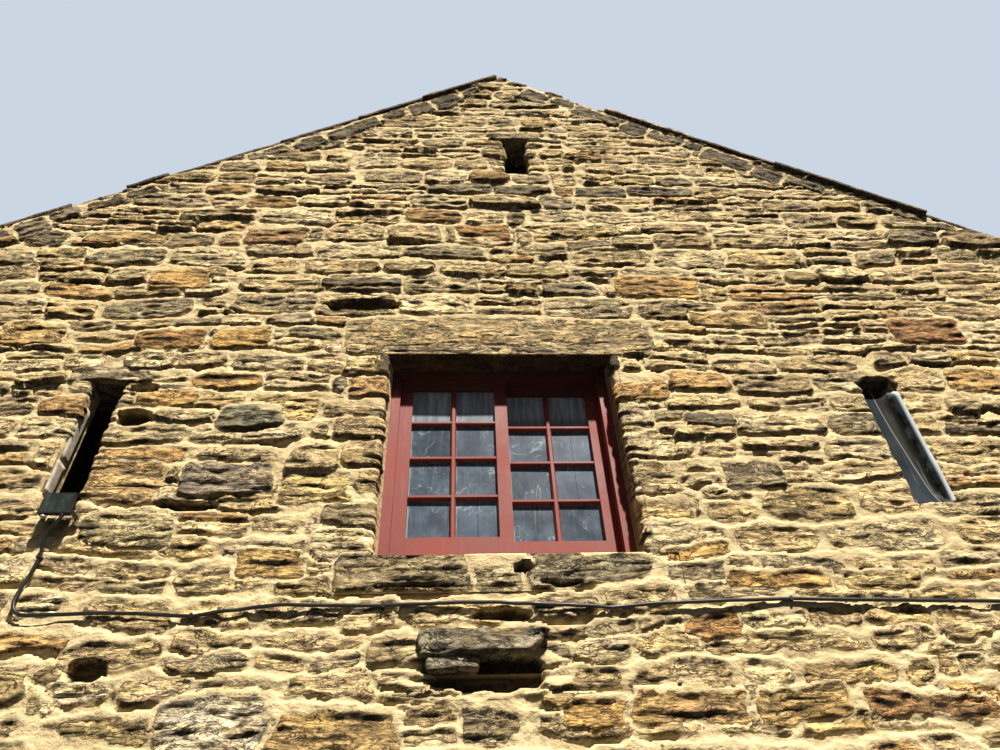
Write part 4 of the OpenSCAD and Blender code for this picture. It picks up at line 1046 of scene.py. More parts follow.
wallStoneSet = {
    "seed": 29, "points": 12, "joint": 0.018, "inset": 0.016, "proud": (0.010, 0.024), "raggedness": 0.055,
    "squareness": 0.42, "outer": 0.36, "quoinReach": 0.018, "quoinHeight": (0.17, 0.27),
    "quoinLong": (0.38, 0.46), "quoinShort": (0.22, 0.30), "quoinRounding": 0.022,
}
wallRandom = np.random.default_rng(wallStoneSet["seed"])


def freeSpans(low, high, z0, z1, blocked):
    # what is left of a course between the openings and their dressings
    spans = [(low, high)]
    for b0, b1, bz0, bz1 in blocked:
        if bz0 < z1 - 0.02 and bz1 > z0 + 0.02:
            parts = [part for s0, s1 in spans for part in ((s0, min(s1, b0)), (max(s0, b1), s1))]
            spans = [part for part in parts if part[1] - part[0] > 0.06]
    return spans


def fillWall(limit, top, blocked, courseHeight, stoneLength):
    # courses whose joints meet the tops and feet of the openings; each stone is u, z, half sizes and turn
    marks = {round(level, 3) for rect in blocked for level in rect[2:] if 0.0 < level < top}
    keys = sorted({0.0, top} | marks)
    keys = [key for index, key in enumerate(keys) if index == 0 or key - keys[index - 1] > 0.05]
    found = []
    for low, high in zip(keys, keys[1:]):
        heights = []
        while sum(heights) < high - low:
            heights.append(wallRandom.uniform(*courseHeight((low + high) / 2)))
        if len(heights) > 1 and high - low - sum(heights[:-1]) < heights[-1] / 2:
            heights.pop()
        levels = low + np.concatenate([[0.0], np.cumsum(np.array(heights) * (high - low) / sum(heights))])
        for z0, z1 in zip(levels, levels[1:]):
            for s0, s1 in freeSpans(-limit(z1), limit(z1), z0, z1, blocked):
                s = s0
                while s < s1 - 0.04:
                    length = wallRandom.uniform(*stoneLength) * (0.75 + 1.8 * (z1 - z0))
                    if s1 - s - length < 0.14:
                        length = s1 - s
                    found.append((s + length / 2, (z0 + z1) / 2, length / 2, (z1 - z0) / 2,
                                  wallRandom.uniform(-0.02, 0.02)))
                    s += length
    return found


def stonesOnWall(name, run, found):
    # each stone is a wobbly outline with a rounded edge and a low crown
    values, random = wallStoneSet, wallRandom
    table = np.array(found)
    count, points = len(table), values["points"]
    centre, last = 3 * points, 2 * points
    even = np.linspace(0, 2 * math.pi, points, endpoint=False)
    angle = even[None, :] + random.uniform(-0.12, 0.12, (count, points))
    gap = values["joint"] / 2
    halfU, halfZ = table[:, 2:3] - gap, table[:, 3:4] - gap
    ragged = 1.0 + random.uniform(-1.6, 1.0, (count, points)) * values["raggedness"]
    outlineU = halfU * np.sign(np.cos(angle)) * np.abs(np.cos(angle)) ** values["squareness"] * ragged
    outlineZ = halfZ * np.sign(np.sin(angle)) * np.abs(np.sin(angle)) ** values["squareness"] * ragged
    proud = random.uniform(*values["proud"], (count, 1))
    shrink = 1.0 - values["inset"] / np.minimum(halfU, halfZ)
    rings = [(1.0, np.full((count, points), -0.004)),
             (0.985, proud * random.uniform(0.35, 0.7, (count, points))),
             (shrink, proud + random.uniform(-0.004, 0.004, (count, points)))]
    scales, lifts = zip(*rings)
    flat = np.zeros((count, 1))
    u, z = (np.concatenate([*(outline * scale for scale in scales), flat], axis=1)
            for outline in (outlineU, outlineZ))
    out = np.concatenate([*lifts, proud + random.uniform(-0.002, 0.005, (count, 1))], axis=1)
    turn = table[:, 4:5]
    placedU = table[:, 0:1] + u * np.cos(turn) - z * np.sin(turn)
    placedZ = table[:, 1:2] + u * np.sin(turn) + z * np.cos(turn)
    spot = wallPoint(run, placedU, out, np.maximum(placedZ, 0.003))
    ring = np.arange(points)
    after = (ring + 1) % points
    quads = [np.stack([ring + low, after + low, after + low + points, ring + low + points], axis=-1)
             for low in (0, points)]
    pairs = ring[::2]
    caps = np.stack([pairs + last, (pairs + 1) % points + last, (pairs + 2) % points + last,
                     np.full(len(pairs), centre)], axis=-1)
    faces = np.concatenate([*quads, caps])
    faces = (faces[None] + (np.arange(count) * (centre + 1))[:, None, None]).reshape(-1, 4)
    tones = np.array([pickTone(random) for _ in range(count)])
    colors = opaque(np.repeat(tones, centre + 1, axis=0))
    print(count, "stones")
    finishPiece(meshFrom(name, spot.reshape(-1, 3), faces, toneStoneMaterial, {"stoneColor": colors}),
                "rubble")


def blockTemplate(cells):
    # the skin of a cube from -1 to 1 with the given cells along each axis, its points shared between faces
    corners, faces, start = [], [], 0
    for axis in range(3):
        first, second = (axis + 1) % 3, (axis + 2) % 3
        for side in (-1, 1):
            a = np.linspace(-1, 1, cells[first] + 1)
            b = np.linspace(-1, 1, cells[second] + 1)
            grid = np.zeros((len(a), len(b), 3))
            grid[..., axis] = side
            grid[..., first], grid[..., second] = np.meshgrid(a, b, indexing="ij")
            quads = start + gridQuads(len(a), len(b)).reshape(-1, 4)[:, [0, 3, 2, 1]]
            corners.append(grid.reshape(-1, 3))
            faces.append(quads if side > 0 else quads[:, ::-1])
            start += a.size * b.size
    unique, inverse = np.unique(np.round(np.concatenate(corners), 5), axis=0, return_inverse=True)
    return unique, inverse.reshape(-1)[np.concatenate(faces)]


def roughBlock(low, high, cells, seed, rounding=0.02, ledge=0.006, layer=0.035, lump=0.005):
    # a quarried block: rounded edges and thin beds that stand forward or back
    template, faces = blockTemplate(cells)
    low, high = np.array(low), np.array(high)
    extreme = np.abs(template) > 0.999
    facing = np.where(extreme, np.sign(template), 0.0)
    sides = extreme.sum(axis=1, keepdims=True)
    points = (low + high) / 2 + template * ((high - low) / 2)
    points = points - facing * rounding * np.where(sides > 1, 0.29, 0.0)
    x, y, z = points.T
    step = np.floor((z + 0.010 * latticeNoise(x, y + z, 0.09, 0.09, seed)) / layer)
    beds = latticeNoise(x + y, step, 0.14, 1.0, seed + 1)
    lumps = latticeNoise(x + 0.7 * y, z + 0.7 * y, 0.05, 0.04, seed + 2)
    upright = np.abs(facing[:, 2:3]) < 0.5
    push = np.where(upright, ledge * beds[:, None], 0.0) + lump * lumps[:, None]
    return points + facing * push / np.sqrt(np.maximum(sides, 1)), faces


def joinBlocks(name, blocks, material, slot, *replaced):
    # blocks come as points, faces and colour
    points, faces, colors, start = [], [], [], 0
    for spot, quads, tone in blocks:
        points.append(spot)
        faces.append(quads + start)
        colors.append(opaque(np.tile(tone, (len(spot), 1))))
        start += len(spot)
    piece = meshFrom(name, np.concatenate(points), np.concatenate(faces), material,
                     {"stoneColor": np.concatenate(colors)})
    finishPiece(piece, slot, *replaced)


def layQuoins():
    # long and short corner stones in turn, at the building's four corners
    values, random, blocks = wallStoneSet, wallRandom, []
    outward = np.array([halfWidth, halfLength])
    for sideX in (-1, 1):
        for sideY in (-1, 1):
            z, flip = 0.003, random.random() < 0.5
            while z < eavesHeight - 0.05:
                height = min(random.uniform(*values["quoinHeight"]), eavesHeight - 0.02 - z)
                sizes = (random.uniform(*values["quoinLong"]), random.uniform(*values["quoinShort"]))
                ends = np.array((sideX, sideY)) * [outward + values["quoinReach"],
                                                   outward - (sizes if flip else sizes[::-1])]
                seed = int(random.integers(100, 900))
                spot, quads = roughBlock((*ends.min(axis=0), z), (*ends.max(axis=0), z + height - 0.014),
                                         (4, 4, 3), seed, values["quoinRounding"], 0.004, 0.06, 0.006)
                blocks.append((spot, quads, pickTone(random)))
                z += height
                flip = not flip
    joinBlocks("corner_stones", blocks, toneStoneMaterial, "rubble")


lintelReach, sillReach, lintelHeight, sillDepth = 0.265, 0.15, 0.23, 0.20


def lintelOver(hole, half):
    # the span and levels of the stone over an opening
    top = hole["z"] + hole["h"]
    return hole["s"] - half - lintelReach, hole["s"] + half + lintelReach, top, top + lintelHeight


def dressedOpening(hole):
    # the opening, its lintel over it and its sill under it
    s, z, half = hole["s"], hole["z"], hole["w"] / 2 - splay
    return [(s - half - 0.01, s + half + 0.01, z, z + hole["h"]), lintelOver(hole, half),
            (s - half - sillReach, s + half + sillReach, z - sillDepth, z)]


def headOver(hole, length, height):
    top = hole["z"] + hole["h"]
    return hole["s"] - length / 2, hole["s"] + length / 2, top, top + height


def plainOpening(hole):
    half = hole["w"] / 2
    return hole["s"] - half, hole["s"] + half, hole["z"], hole["z"] + hole["h"]


# Length and height of the head stones over the slits and the vent of the gable that isn't in the photograph
backHeads = [(slitOpenings[0], 0.43, 0.105), (slitOpenings[1], 0.43, 0.105), (ventOpening, 0.42, 0.085)]


def coverBackGable():
    # seen from outside, the back gable's openings lie as the front one's do
    outer = halfWidth - wallStoneSet["outer"]
    blocked = dressedOpening(windowOpening)
    for hole, length, height in backHeads:
        blocked += [plainOpening(hole), headOver(hole, length, height)]

    def limit(z):
        return min(outer, (apexHeight - z) / math.tan(roofPitch) - 0.26) if z > 3.0 else outer

    found = fillWall(limit, apexHeight - 0.24, blocked, lambda z: (0.13, 0.21) if z < 3 else (0.10, 0.16),
                     (0.26, 0.44))
    along, slopeLength = 0.16, halfWidth / math.cos(roofPitch)
    while along < slopeLength - 0.4:
        length, down = wallRandom.uniform(0.26, 0.5), wallRandom.uniform(0.075, 0.095)
        middle = along + length / 2
        u = middle * math.cos(roofPitch) - down * math.sin(roofPitch)
        z = apexHeight - middle * math.sin(roofPitch) - (down + 0.01) * math.cos(roofPitch)
        found += [(side * u, z, length / 2, down, -side * roofPitch) for side in (1, -1)]
        along += length
    stonesOnWall("back_stones", backRun, found)


def coverSideWalls():
    outer = halfLength - wallStoneSet["outer"]
    for run in (rightRun, leftRun):
        blocked = [rect for hole in sideOpenings for rect in dressedOpening(hole)]
        if run is leftRun:
            blocked += [plainOpening(doorOpening), lintelOver(doorOpening, doorOpening["w"] / 2)]
        found = fillWall(lambda z: outer, eavesHeight - 0.01, blocked,
                         lambda z: (0.15, 0.23) if z < 2.3 else (0.12, 0.18), (0.28, 0.50))
        stonesOnWall(run["name"] + "_stones", run, found)


layQuoins()
coverBackGable()
coverSideWalls()
print("other walls done")


# Geometry Nodes trees: each is built from named inputs and applied to a base mesh

class GeometryTree(NodeMaker):
    def __init__(self, name, floats, integers):
        # the inputs' names come in two strings, parted by commas
        super().__init__(bpy.data.node_groups.new(name, "GeometryNodeTree"))
        interface = self.tree.interface
        for way in ("INPUT", "OUTPUT"):
            interface.new_socket("Geometry", in_out=way, socket_type="NodeSocketGeometry")
        kinds = {"Material": "NodeSocketMaterial", **dict.fromkeys(floats.split(", "), "NodeSocketFloat"),
                 **dict.fromkeys(integers.split(", "), "NodeSocketInt")}
        self.sockets = {key: interface.new_socket(key, in_out="INPUT", socket_type=kind).identifier
                        for key, kind in kinds.items()}
        given = self.tree.nodes.new("NodeGroupInput").outputs
        self.given = {key: Value(self, given[key]) for key in ("Geometry", *kinds)}
        self.result = self.tree.nodes.new("NodeGroupOutput").inputs["Geometry"]

    def make(self, kind, inputs=None, **settings):
        return self.node("GeometryNode" + kind, inputs, **settings)

    def vector(self, x=0.0, y=0.0, z=0.0):
        return self.node("ShaderNodeCombineXYZ", {"X": x, "Y": y, "Z": z})

    def random(self, low, high, key, seed=None):
        return self.node("FunctionNodeRandomValue", {"Min": low, "Max": high, "ID": key,
                                                     "Seed": seed or self.given["Seed"]}, "Value",
                         data_type="FLOAT")

    def join(self, parts):
        joined = self.make("JoinGeometry")
        for part in parts:
            self.feed(joined.socket.node.inputs[0], part)
        return joined

    def tone(self, pieces, low, high):
        # each piece gets a tone of its own
        own = self.random(low, high, self.make("InputIndex"))
        stored = self.make("StoreNamedAttribute", {"Geometry": pieces, "Name": "pieceTone", "Value": own},
                           data_type="FLOAT", domain="INSTANCE")
        return self.make("RealizeInstances", {"Geometry": stored})

    def roughen(self, geometry, scale, amount):
        noise = self.node("ShaderNodeTexNoise", {"Scale": scale, "Detail": 2.0}, "Color")
        shift = self.node("ShaderNodeVectorMath", {0: noise, 1: (0.5, 0.5, 0.5)}, operation="SUBTRACT")
        scaled = self.node("ShaderNodeVectorMath", {0: shift, "Scale": amount}, operation="SCALE")
        return self.make("SetPosition", {"Geometry": geometry, "Offset": scaled})

    def finish(self, geometry, isSmooth=False):
        shaded = self.make("SetShadeSmooth", {"Geometry": geometry, "Shade Smooth": isSmooth})
        whole = self.make("RealizeInstances", {"Geometry": shaded})
        self.feed(self.result, self.make("SetMaterial",
                                         {"Geometry": whole, "Material": self.given["Material"]}))
        return self

    def grow(self, name, base, *values):
        # the tree's result as a plain mesh of its own
        grown = addObject(name, base)
        modifier = grown.modifiers.new("growth", "NODES")
        modifier.node_group = self.tree
        for key, value in [pair for part in values for pair in part.items()]:
            if key in self.sockets:
                modifier[self.sockets[key]] = value
        depsgraph = bpy.context.evaluated_depsgraph_get()
        mesh = bpy.data.meshes.new_from_object(grown.evaluated_get(depsgraph), depsgraph=depsgraph)
        grown.modifiers.remove(modifier)
        grown.data = mesh
        mesh.name = name
        return grown


# Stone slates

slateSet = {
    "Courses": 14, "Columns": 21, "Taper": 0.35, "Thickness": 0.030, "Low Lift": 0.066, "High Lift": 0.036,
    "Lap": 0.075, "Joint": 0.006, "Unevenness": 0.010, "vergeReach": -0.03, "eavesReach": 0.12,
    "seeds": (3, 8),
}


def slateTree():
    tree = GeometryTree("stoneSlates", "Slope Run, Verge Length, Eaves Height, Half Width, Pitch, Taper, "
                        "Thickness, Low Lift, High Lift, Lap, Joint, Unevenness, Half Turn",
                        "Courses, Columns, Seed")
    given = tree.given
    courses, pitch, lowLift, verge = (given[key] for key in ("Courses", "Pitch", "Low Lift", "Verge Length"))
    thickness = given["Thickness"]
    columns = given["Columns"] + 1
    line = tree.make("MeshLine", {"Count": courses * columns})
    index = tree.make("InputIndex")
    course = tree.math("FLOOR", index / columns)
    column = index - course * columns

    def runAt(step):
        share = step / courses
        return given["Slope Run"] * (1.0 - share * (1.0 + given["Taper"] * (1.0 - share)))

    low, high = runAt(course), runAt(course + 1.0)
    cosine, sine = tree.math("COSINE", pitch), tree.math("SINE", pitch)
    gauge = (low - high) / cosine
    width = verge / given["Columns"]
    odd = tree.math("MODULO", course, 2.0) * 0.5

    def jointAt(step):
        # joints break over the ones below, each a little off its place, and stop at the verges
        off = tree.random(-0.24, 0.24, course * 100.0 + step)
        place = width * (step - odd + off)
        inside = tree.math("MINIMUM", tree.math("MAXIMUM", place, 0.0), verge)
        inside = inside * (1.0 - tree.math("LESS_THAN", step - odd, 0.3))
        atEnd = tree.math("GREATER_THAN", step - odd, given["Columns"] - 0.3)
        return inside + (verge - inside) * atEnd

    start, end = jointAt(column), jointAt(column + 1.0)
    across = end - start - given["Joint"]
    middleY = (start + end) / 2.0 - verge / 2.0
    # each slate falls towards the ridge, from the top of the course below to the lath
    lean = pitch - tree.math("ARCTANGENT", (lowLift - given["High Lift"]) / gauge)
    length = gauge + given["Lap"] + tree.random(-0.012, 0.012, index + 5000.0)
    # the lower end's top edge, then half a slate up the slope and half its thickness down
    edgeX = (low + lowLift * sine) * -1.0
    rise = (given["Half Width"] - low) * tree.math("TANGENT", pitch)
    edgeZ = given["Eaves Height"] + rise + lowLift * cosine
    half, deep = length / 2.0, thickness / 2.0
    along, down = tree.math("COSINE", lean), tree.math("SINE", lean)
    centre = tree.vector(edgeX + (half * along + deep * down), middleY, edgeZ + (half * down - deep * along))
    placed = tree.make("SetPosition", {"Geometry": line, "Position": centre})
    slab = tree.make("MeshCube", {"Size": (1.0, 1.0, 1.0), "Vertices X": 5, "Vertices Y": 5, "Vertices Z": 2})
    turn = tree.vector(tree.random(-0.006, 0.006, index + 7000.0), lean * -1.0,
                       tree.random(-0.012, 0.012, index + 9000.0))
    spread = tree.make("InstanceOnPoints", {
        "Points": placed, "Selection": tree.math("GREATER_THAN", across, 0.05), "Instance": slab,
        "Rotation": turn, "Scale": tree.vector(length, across, thickness)})
    rough = tree.roughen(tree.tone(spread, 0.0, 1.0), 9.0, given["Unevenness"])
    turned = tree.make("Transform", {"Geometry": rough,
                                     "Rotation": tree.vector(0.0, 0.0, given["Half Turn"])})
    return tree.finish(turned)


def laySlates():
    tree = slateTree()
    values = {"Slope Run": halfWidth + slateSet["eavesReach"], "Half Width": halfWidth, "Pitch": roofPitch,
              "Verge Length": 2 * (halfLength + slateSet["vergeReach"]), "Eaves Height": eavesHeight,
              "Material": slateMaterial}
    for name, halfTurn, seed in zip(("left", "right"), (0.0, math.pi), slateSet["seeds"]):
        slates = tree.grow(name + "_slates", bpy.data.meshes.new(name + "Base"), slateSet, values,
                           {"Half Turn": halfTurn, "Seed": seed})
        finishPiece(slates, "slates", name + "_roof_slates")


# The verge is closed by long slabs bedded on the gable; each by its span from the apex and its reach
vergeSet = {
    "thickness": 0.034, "across": 0.34, "gap": -0.004, "undersheet": 0.006, "paleSlab": 3, "paleShade": 3.2,
    "left": [(0.03, 0.645, 0.040), (0.645, 1.14, 0.028), (1.14, 1.69, 0.018), (1.69, 2.39, 0.010),
             (2.39, 2.63, 0.028), (2.63, 2.93, -0.006), (2.93, 3.42, 0.014), (3.42, 3.90, 0.022)],
    "right": [(0.02, 0.40, -0.010), (0.40, 0.50, 0.012), (0.50, 0.837, -0.020), (0.837, 1.435, 0.034),
              (1.435, 2.02, 0.030), (2.02, 2.93, 0.044), (2.93, 3.42, 0.012), (3.42, 3.90, 0.020)],
}


def slopeBlock(side, run0, run1, y0, y1, thickness, cells, seed):
    # a rough slab laid on a slope: side -1 is the left one
    low, high = (run0 / math.cos(roofPitch), y0, 0.0), (run1 / math.cos(roofPitch), y1, thickness)
    spot, quads = roughBlock(low, high, cells, seed, 0.006, 0.0, 0.05, 0.004)
    along, y, lift = spot.T
    x = side * (along * math.cos(roofPitch) + lift * math.sin(roofPitch))
    z = apexHeight - along * math.sin(roofPitch) + lift * math.cos(roofPitch)
    return np.stack([x, y, z], axis=-1), quads if side > 0 else quads[:, ::-1]


def layVergeSlabs():
    values, blocks = vergeSet, []
    for end in (-1, 1):
        for side, key in ((-1, "left"), (1, "right")):
            for number, (near, far, reach) in enumerate(values[key]):
                y0, y1 = sorted((end * (halfLength + reach), end * (halfLength + reach - values["across"])))
                isPale = side > 0 and number == values["paleSlab"]
                shade = values["paleShade"] if isPale else (0.9, 1.15, 0.8, 1.0)[number % 4]
                slab = slopeBlock(side, near, far - values["gap"], y0, y1, values["thickness"], (8, 4, 2),
                                  400 + number)
                blocks.append((*slab, shade * np.array((0.16, 0.13, 0.09))))
    joinBlocks("verge_slabs", blocks, toneStoneMaterial, "slates")
    # a thin bed under the slates closes the joints between them
    beds = [(*slopeBlock(side, 0.0, halfWidth + 0.06, 0.02 - halfLength, halfLength - 0.02,
                         values["undersheet"], (6, 8, 1), 450), (0.3, 0.26, 0.2)) for side in (-1, 1)]
    joinBlocks("slate_bedding", beds, mortarMaterial, "slates")


ridgeSet = {"Count": 15, "Wing": 0.19, "Thickness": 0.042, "Joint": 0.008, "Wobble": 0.006, "Seed": 12,
            "lift": 0.050, "setBack": 0.035}


def ridgeTree():
    tree = GeometryTree("ridgeStones", "Length, Height, Pitch, Wing, Thickness, Joint, Wobble", "Count, Seed")
    given = tree.given
    pitchLength = given["Length"] / given["Count"]
    line = tree.make("MeshLine", {"Count": given["Count"]})
    index = tree.make("InputIndex")
    along = (index + 0.5) * pitchLength - given["Length"] / 2.0
    placed = tree.make("SetPosition", {"Geometry": line,
                                       "Position": tree.vector(0.0, along, given["Height"])})
    wings = []
    for side in (-1.0, 1.0):
        # a wing's slab hangs from the ridge line down its slope
        size = tree.vector(given["Wing"], 1.0, given["Thickness"])
        wing = tree.make("MeshCube", {"Size": size, "Vertices X": 4, "Vertices Y": 5, "Vertices Z": 2})
        shift = tree.vector(given["Wing"] * (0.46 * side), 0.0, 0.0)
        shifted = tree.make("Transform", {"Geometry": wing, "Translation": shift})
        hang = tree.vector(0.0, given["Pitch"] * side, 0.0)
        wings.append(tree.make("Transform", {"Geometry": shifted, "Rotation": hang}))
    turn = tree.vector(0.0, tree.random(-0.012, 0.012, index),
                       tree.random(-0.008, 0.008, index, given["Seed"] + 1))
    pieces = tree.make("InstanceOnPoints", {"Points": placed, "Instance": tree.join(wings), "Rotation": turn,
                                             "Scale": tree.vector(1.0, pitchLength - given["Joint"], 1.0)})
    return tree.finish(tree.roughen(tree.tone(pieces, 0.3, 1.0), 11.0, given["Wobble"]))


def layRidge():
    values = {"Length": 2 * (halfLength - ridgeSet["setBack"]), "Height": apexHeight + ridgeSet["lift"],
              "Pitch": roofPitch, "Material": slateMaterial}
    ridge = ridgeTree().grow("ridge_capping", bpy.data.meshes.new("ridgeBase"), ridgeSet, values)
    finishPiece(ridge, "slates", "ridge_stones")


laySlates()
layRidge()
layVergeSlabs()
print("roof done")


# Glazing bars of all the sashes

barSet = {"Columns": 2, "Rows": 4, "Bar Width": 0.029, "Rail Width": 0.024, "Depth": 0.036, "Nose": 0.50,
          "Pane Width": 0.4495, "Pane Height": 0.955}


def barTree():
    tree = GeometryTree("glazingBars", "Pane Width, Pane Height, Bar Width, Rail Width, Depth, Nose",
                        "Columns, Rows")
    given = tree.given
    # one bar whose outer half narrows to a nose
    cube = tree.make("MeshCube", {"Size": (1.0, 1.0, 1.0), "Vertices X": 2, "Vertices Y": 4, "Vertices Z": 2})
    x, y, z = tree.axes(tree.make("InputPosition"))
    narrow = 1.0 - tree.math("LESS_THAN", y, -0.4) * (1.0 - given["Nose"])
    shaped = tree.make("SetPosition", {"Geometry": cube, "Position": tree.vector(x * narrow, y, z)})

    def spread(count, span, thickness, length, depth, isUpright):
        line = tree.make("MeshLine", {"Count": count - 1})
        index = tree.make("InputIndex") + 1.0
        offset = index / count * span - span / 2.0
        spot = tree.vector(offset, 0.0, 0.0) if isUpright else tree.vector(0.0, 0.0, offset)
        placed = tree.make("SetPosition", {"Geometry": line, "Position": spot})
        return tree.make("InstanceOnPoints", {
            "Points": placed, "Instance": shaped, "Rotation": (0.0, 0.0 if isUpright else math.pi / 2, 0.0),
            "Scale": tree.vector(thickness, depth, length)})

    paneWidth, paneHeight, depth = given["Pane Width"], given["Pane Height"], given["Depth"]
    upright = spread(given["Columns"], paneWidth, given["Bar Width"], paneHeight, depth, True)
    level = spread(given["Rows"], paneHeight, given["Rail Width"], paneWidth, depth - 0.003, False)
    bars = tree.join([upright, level])
    turn = tree.node("GeometryNodeInputNamedAttribute", {"Name": "sashTurn"}, data_type="FLOAT")
    return tree.finish(tree.make("InstanceOnPoints", {"Points": given["Geometry"], "Instance": bars,
                                                       "Rotation": tree.vector(0.0, 0.0, turn)}))


def sashPlaces():
    # each sash by its place in the photographed window, then on the other walls: middle of its panes and turn
    spots, turns = [], []
    for run in wallRuns:
        for window in [windowOpening] if run in (frontRun, backRun) else sideOpenings:
            for node in ("front_window_left_glass", "front_window_right_glass"):
                x, y, z = np.mean(boxOf(node), axis=0)
                u = window["s"] + (x - windowOpening["s"])
                level = window["z"] + z - windowOpening["z"]
                spots.append(wallPoint(run, np.array([u]), np.array([-halfLength - y]), np.array([level]))[0])
                turns.append(math.radians(run["turn"]))
    return np.array(spots), np.array(turns)


def fitGlazingBars(spots, turns):
    base = bpy.data.meshes.new("sashPlaces")
    base.from_pydata(spots.tolist(), [], [])
    base.attributes.new("sashTurn", "FLOAT", "POINT").data.foreach_set("value", turns)
    finishPiece(barTree().grow("glazing_bars", base, barSet, {"Material": paintMaterial}), "red_paint")


paneSet = {"seed": 5, "thickness": 0.004, "rebate": 0.009, "lean": 0.0012, "setBack": 0.009}


def glazePanes(spots, turns):
    # one pane for each light of a sash, a touch out of true with its neighbours
    random, rebate = np.random.default_rng(paneSet["seed"]), paneSet["rebate"]
    width, height, columns, rows = (barSet[key] for key in ("Pane Width", "Pane Height", "Columns", "Rows"))
    template, quads = blockTemplate((1, 1, 1))
    across, depth, up = (template.T + 1) / 2
    points, faces = [], []
    attributes = {"paneU": [], "paneV": [], "paneTone": [], "paneTop": []}

    def reach(span, number, count):
        # the ends of one pane; the outer ones run into the sash's rebate
        low, high = (span * (number + k) / count - span / 2 for k in (0, 1))
        return low - rebate * (number == 0), high + rebate * (number == count - 1)

    for spot, turn in zip(spots, turns):
        for column in range(columns):
            for row in range(rows):
                x0, x1 = reach(width, column, columns)
                z0, z1 = reach(height, row, rows)
                tilt = random.uniform(-1, 1, 2) * paneSet["lean"]
                x = x0 + (x1 - x0) * across
                z = z0 + (z1 - z0) * up
                y = (depth - 0.5) * paneSet["thickness"] + paneSet["setBack"]
                y = y + tilt[0] * template[:, 0] + tilt[1] * template[:, 2]
                place = [x * math.cos(turn) - y * math.sin(turn), x * math.sin(turn) + y * math.cos(turn), z]
                faces.append(quads + 8 * len(points))
                points.append(np.stack(place, axis=-1) + spot)
                own = (across, up, np.full(8, random.random()), np.full(8, float(row == rows - 1)))
                for found, value in zip(attributes.values(), own):
                    found.append(value)
    panes = meshFrom("window_panes", np.concatenate(points), np.concatenate(faces), windowGlassMaterial,
                     attributes, False)
    finishPiece(panes, "old_glass", "front_window_left_glass", "front_window_right_glass",
                "back_window_glass", "left_window_glass", "right_window_glass")


sashes = sashPlaces()
fitGlazingBars(*sashes)
glazePanes(*sashes)


# The corbel stone is a rough slab with a thinner lip under its left part

corbelSet = {"lipShare": 0.46, "lipDepth": 0.060, "cells": (26, 12, 9), "tone": (0.35, 0.305, 0.205)}


def makeCorbel():
    low, high = boxOf("corbel_stone")
    back = -halfLength + 0.12
    step = low[2] + corbelSet["lipDepth"]
    tone = np.array(corbelSet["tone"])
    slab, slabFaces = roughBlock((low[0], low[1] + 0.004, step - 0.004), (high[0], back, high[2]),
                                 corbelSet["cells"], 71, 0.03, 0.010, 0.028, 0.008)
    # the slab's lower right corner is broken away
    cut = smooth(slab[:, 0], high[0] - 0.10, high[0]) * smooth(slab[:, 2], high[2], step)
    slab[:, 0] -= 0.045 * cut
    slab[:, 2] += 0.030 * cut
    lipHigh = low[0] + (high[0] - low[0]) * corbelSet["lipShare"]
    lip = roughBlock((low[0] + 0.03, low[1] + 0.020, low[2]), (lipHigh, back, step + 0.006), (14, 10, 5), 83,
                     0.02, 0.008, 0.022, 0.006)
    joinBlocks("corbel_rough_stone", [(slab, slabFaces, tone), (*lip, 0.9 * tone)], toneStoneMaterial,
               "rubble", "corbel_stone")


makeCorbel()


# Lintels, sills and head stones of the other walls, and the head stones of the photographed gable

dressingSet = {"seed": 61, "reach": 0.010, "lintelDeep": 0.24, "sillDeep": 0.235, "headDeep": 0.24,
               "rounding": 0.016, "tone": (0.50, 0.39, 0.215), "headTone": (0.33, 0.27, 0.17)}
# the photographed ones: opening, length, height, reach and colour
frontHeads = [(slitOpenings[0], 0.44, 0.105, 0.018, (0.41, 0.335, 0.20)),
              # the right slit's head stone is coloured nearly black: painted shade
              (slitOpenings[1], 0.40, 0.095, -0.035, (0.05, 0.037, 0.022)),
              (ventOpening, 0.42, 0.085, 0.018, (0.41, 0.335, 0.20))]


def wallBlock(run, rect, reach, deep, cells, seed, tone, slope=0.0, ledge=0.006):
    # a rough block let into a wall: rect is its span and levels as seen from outside
    s0, s1, z0, z1 = rect
    spot, quads = roughBlock((s0, -reach, z0), (s1, deep, z1), cells, seed, dressingSet["rounding"], ledge,
                             0.04, 0.005)
    u, depth, z = spot.T
    z = z - slope * (z > (z0 + z1) / 2) * np.clip(1.0 - (depth + reach) / (deep + reach), 0, 1)
    return wallPoint(run, u, -depth, z), quads, tone


def inset(rect, side=0.005, foot=0.0, head=0.0):
    return rect[0] + side, rect[1] - side, rect[2] + foot, rect[3] - head


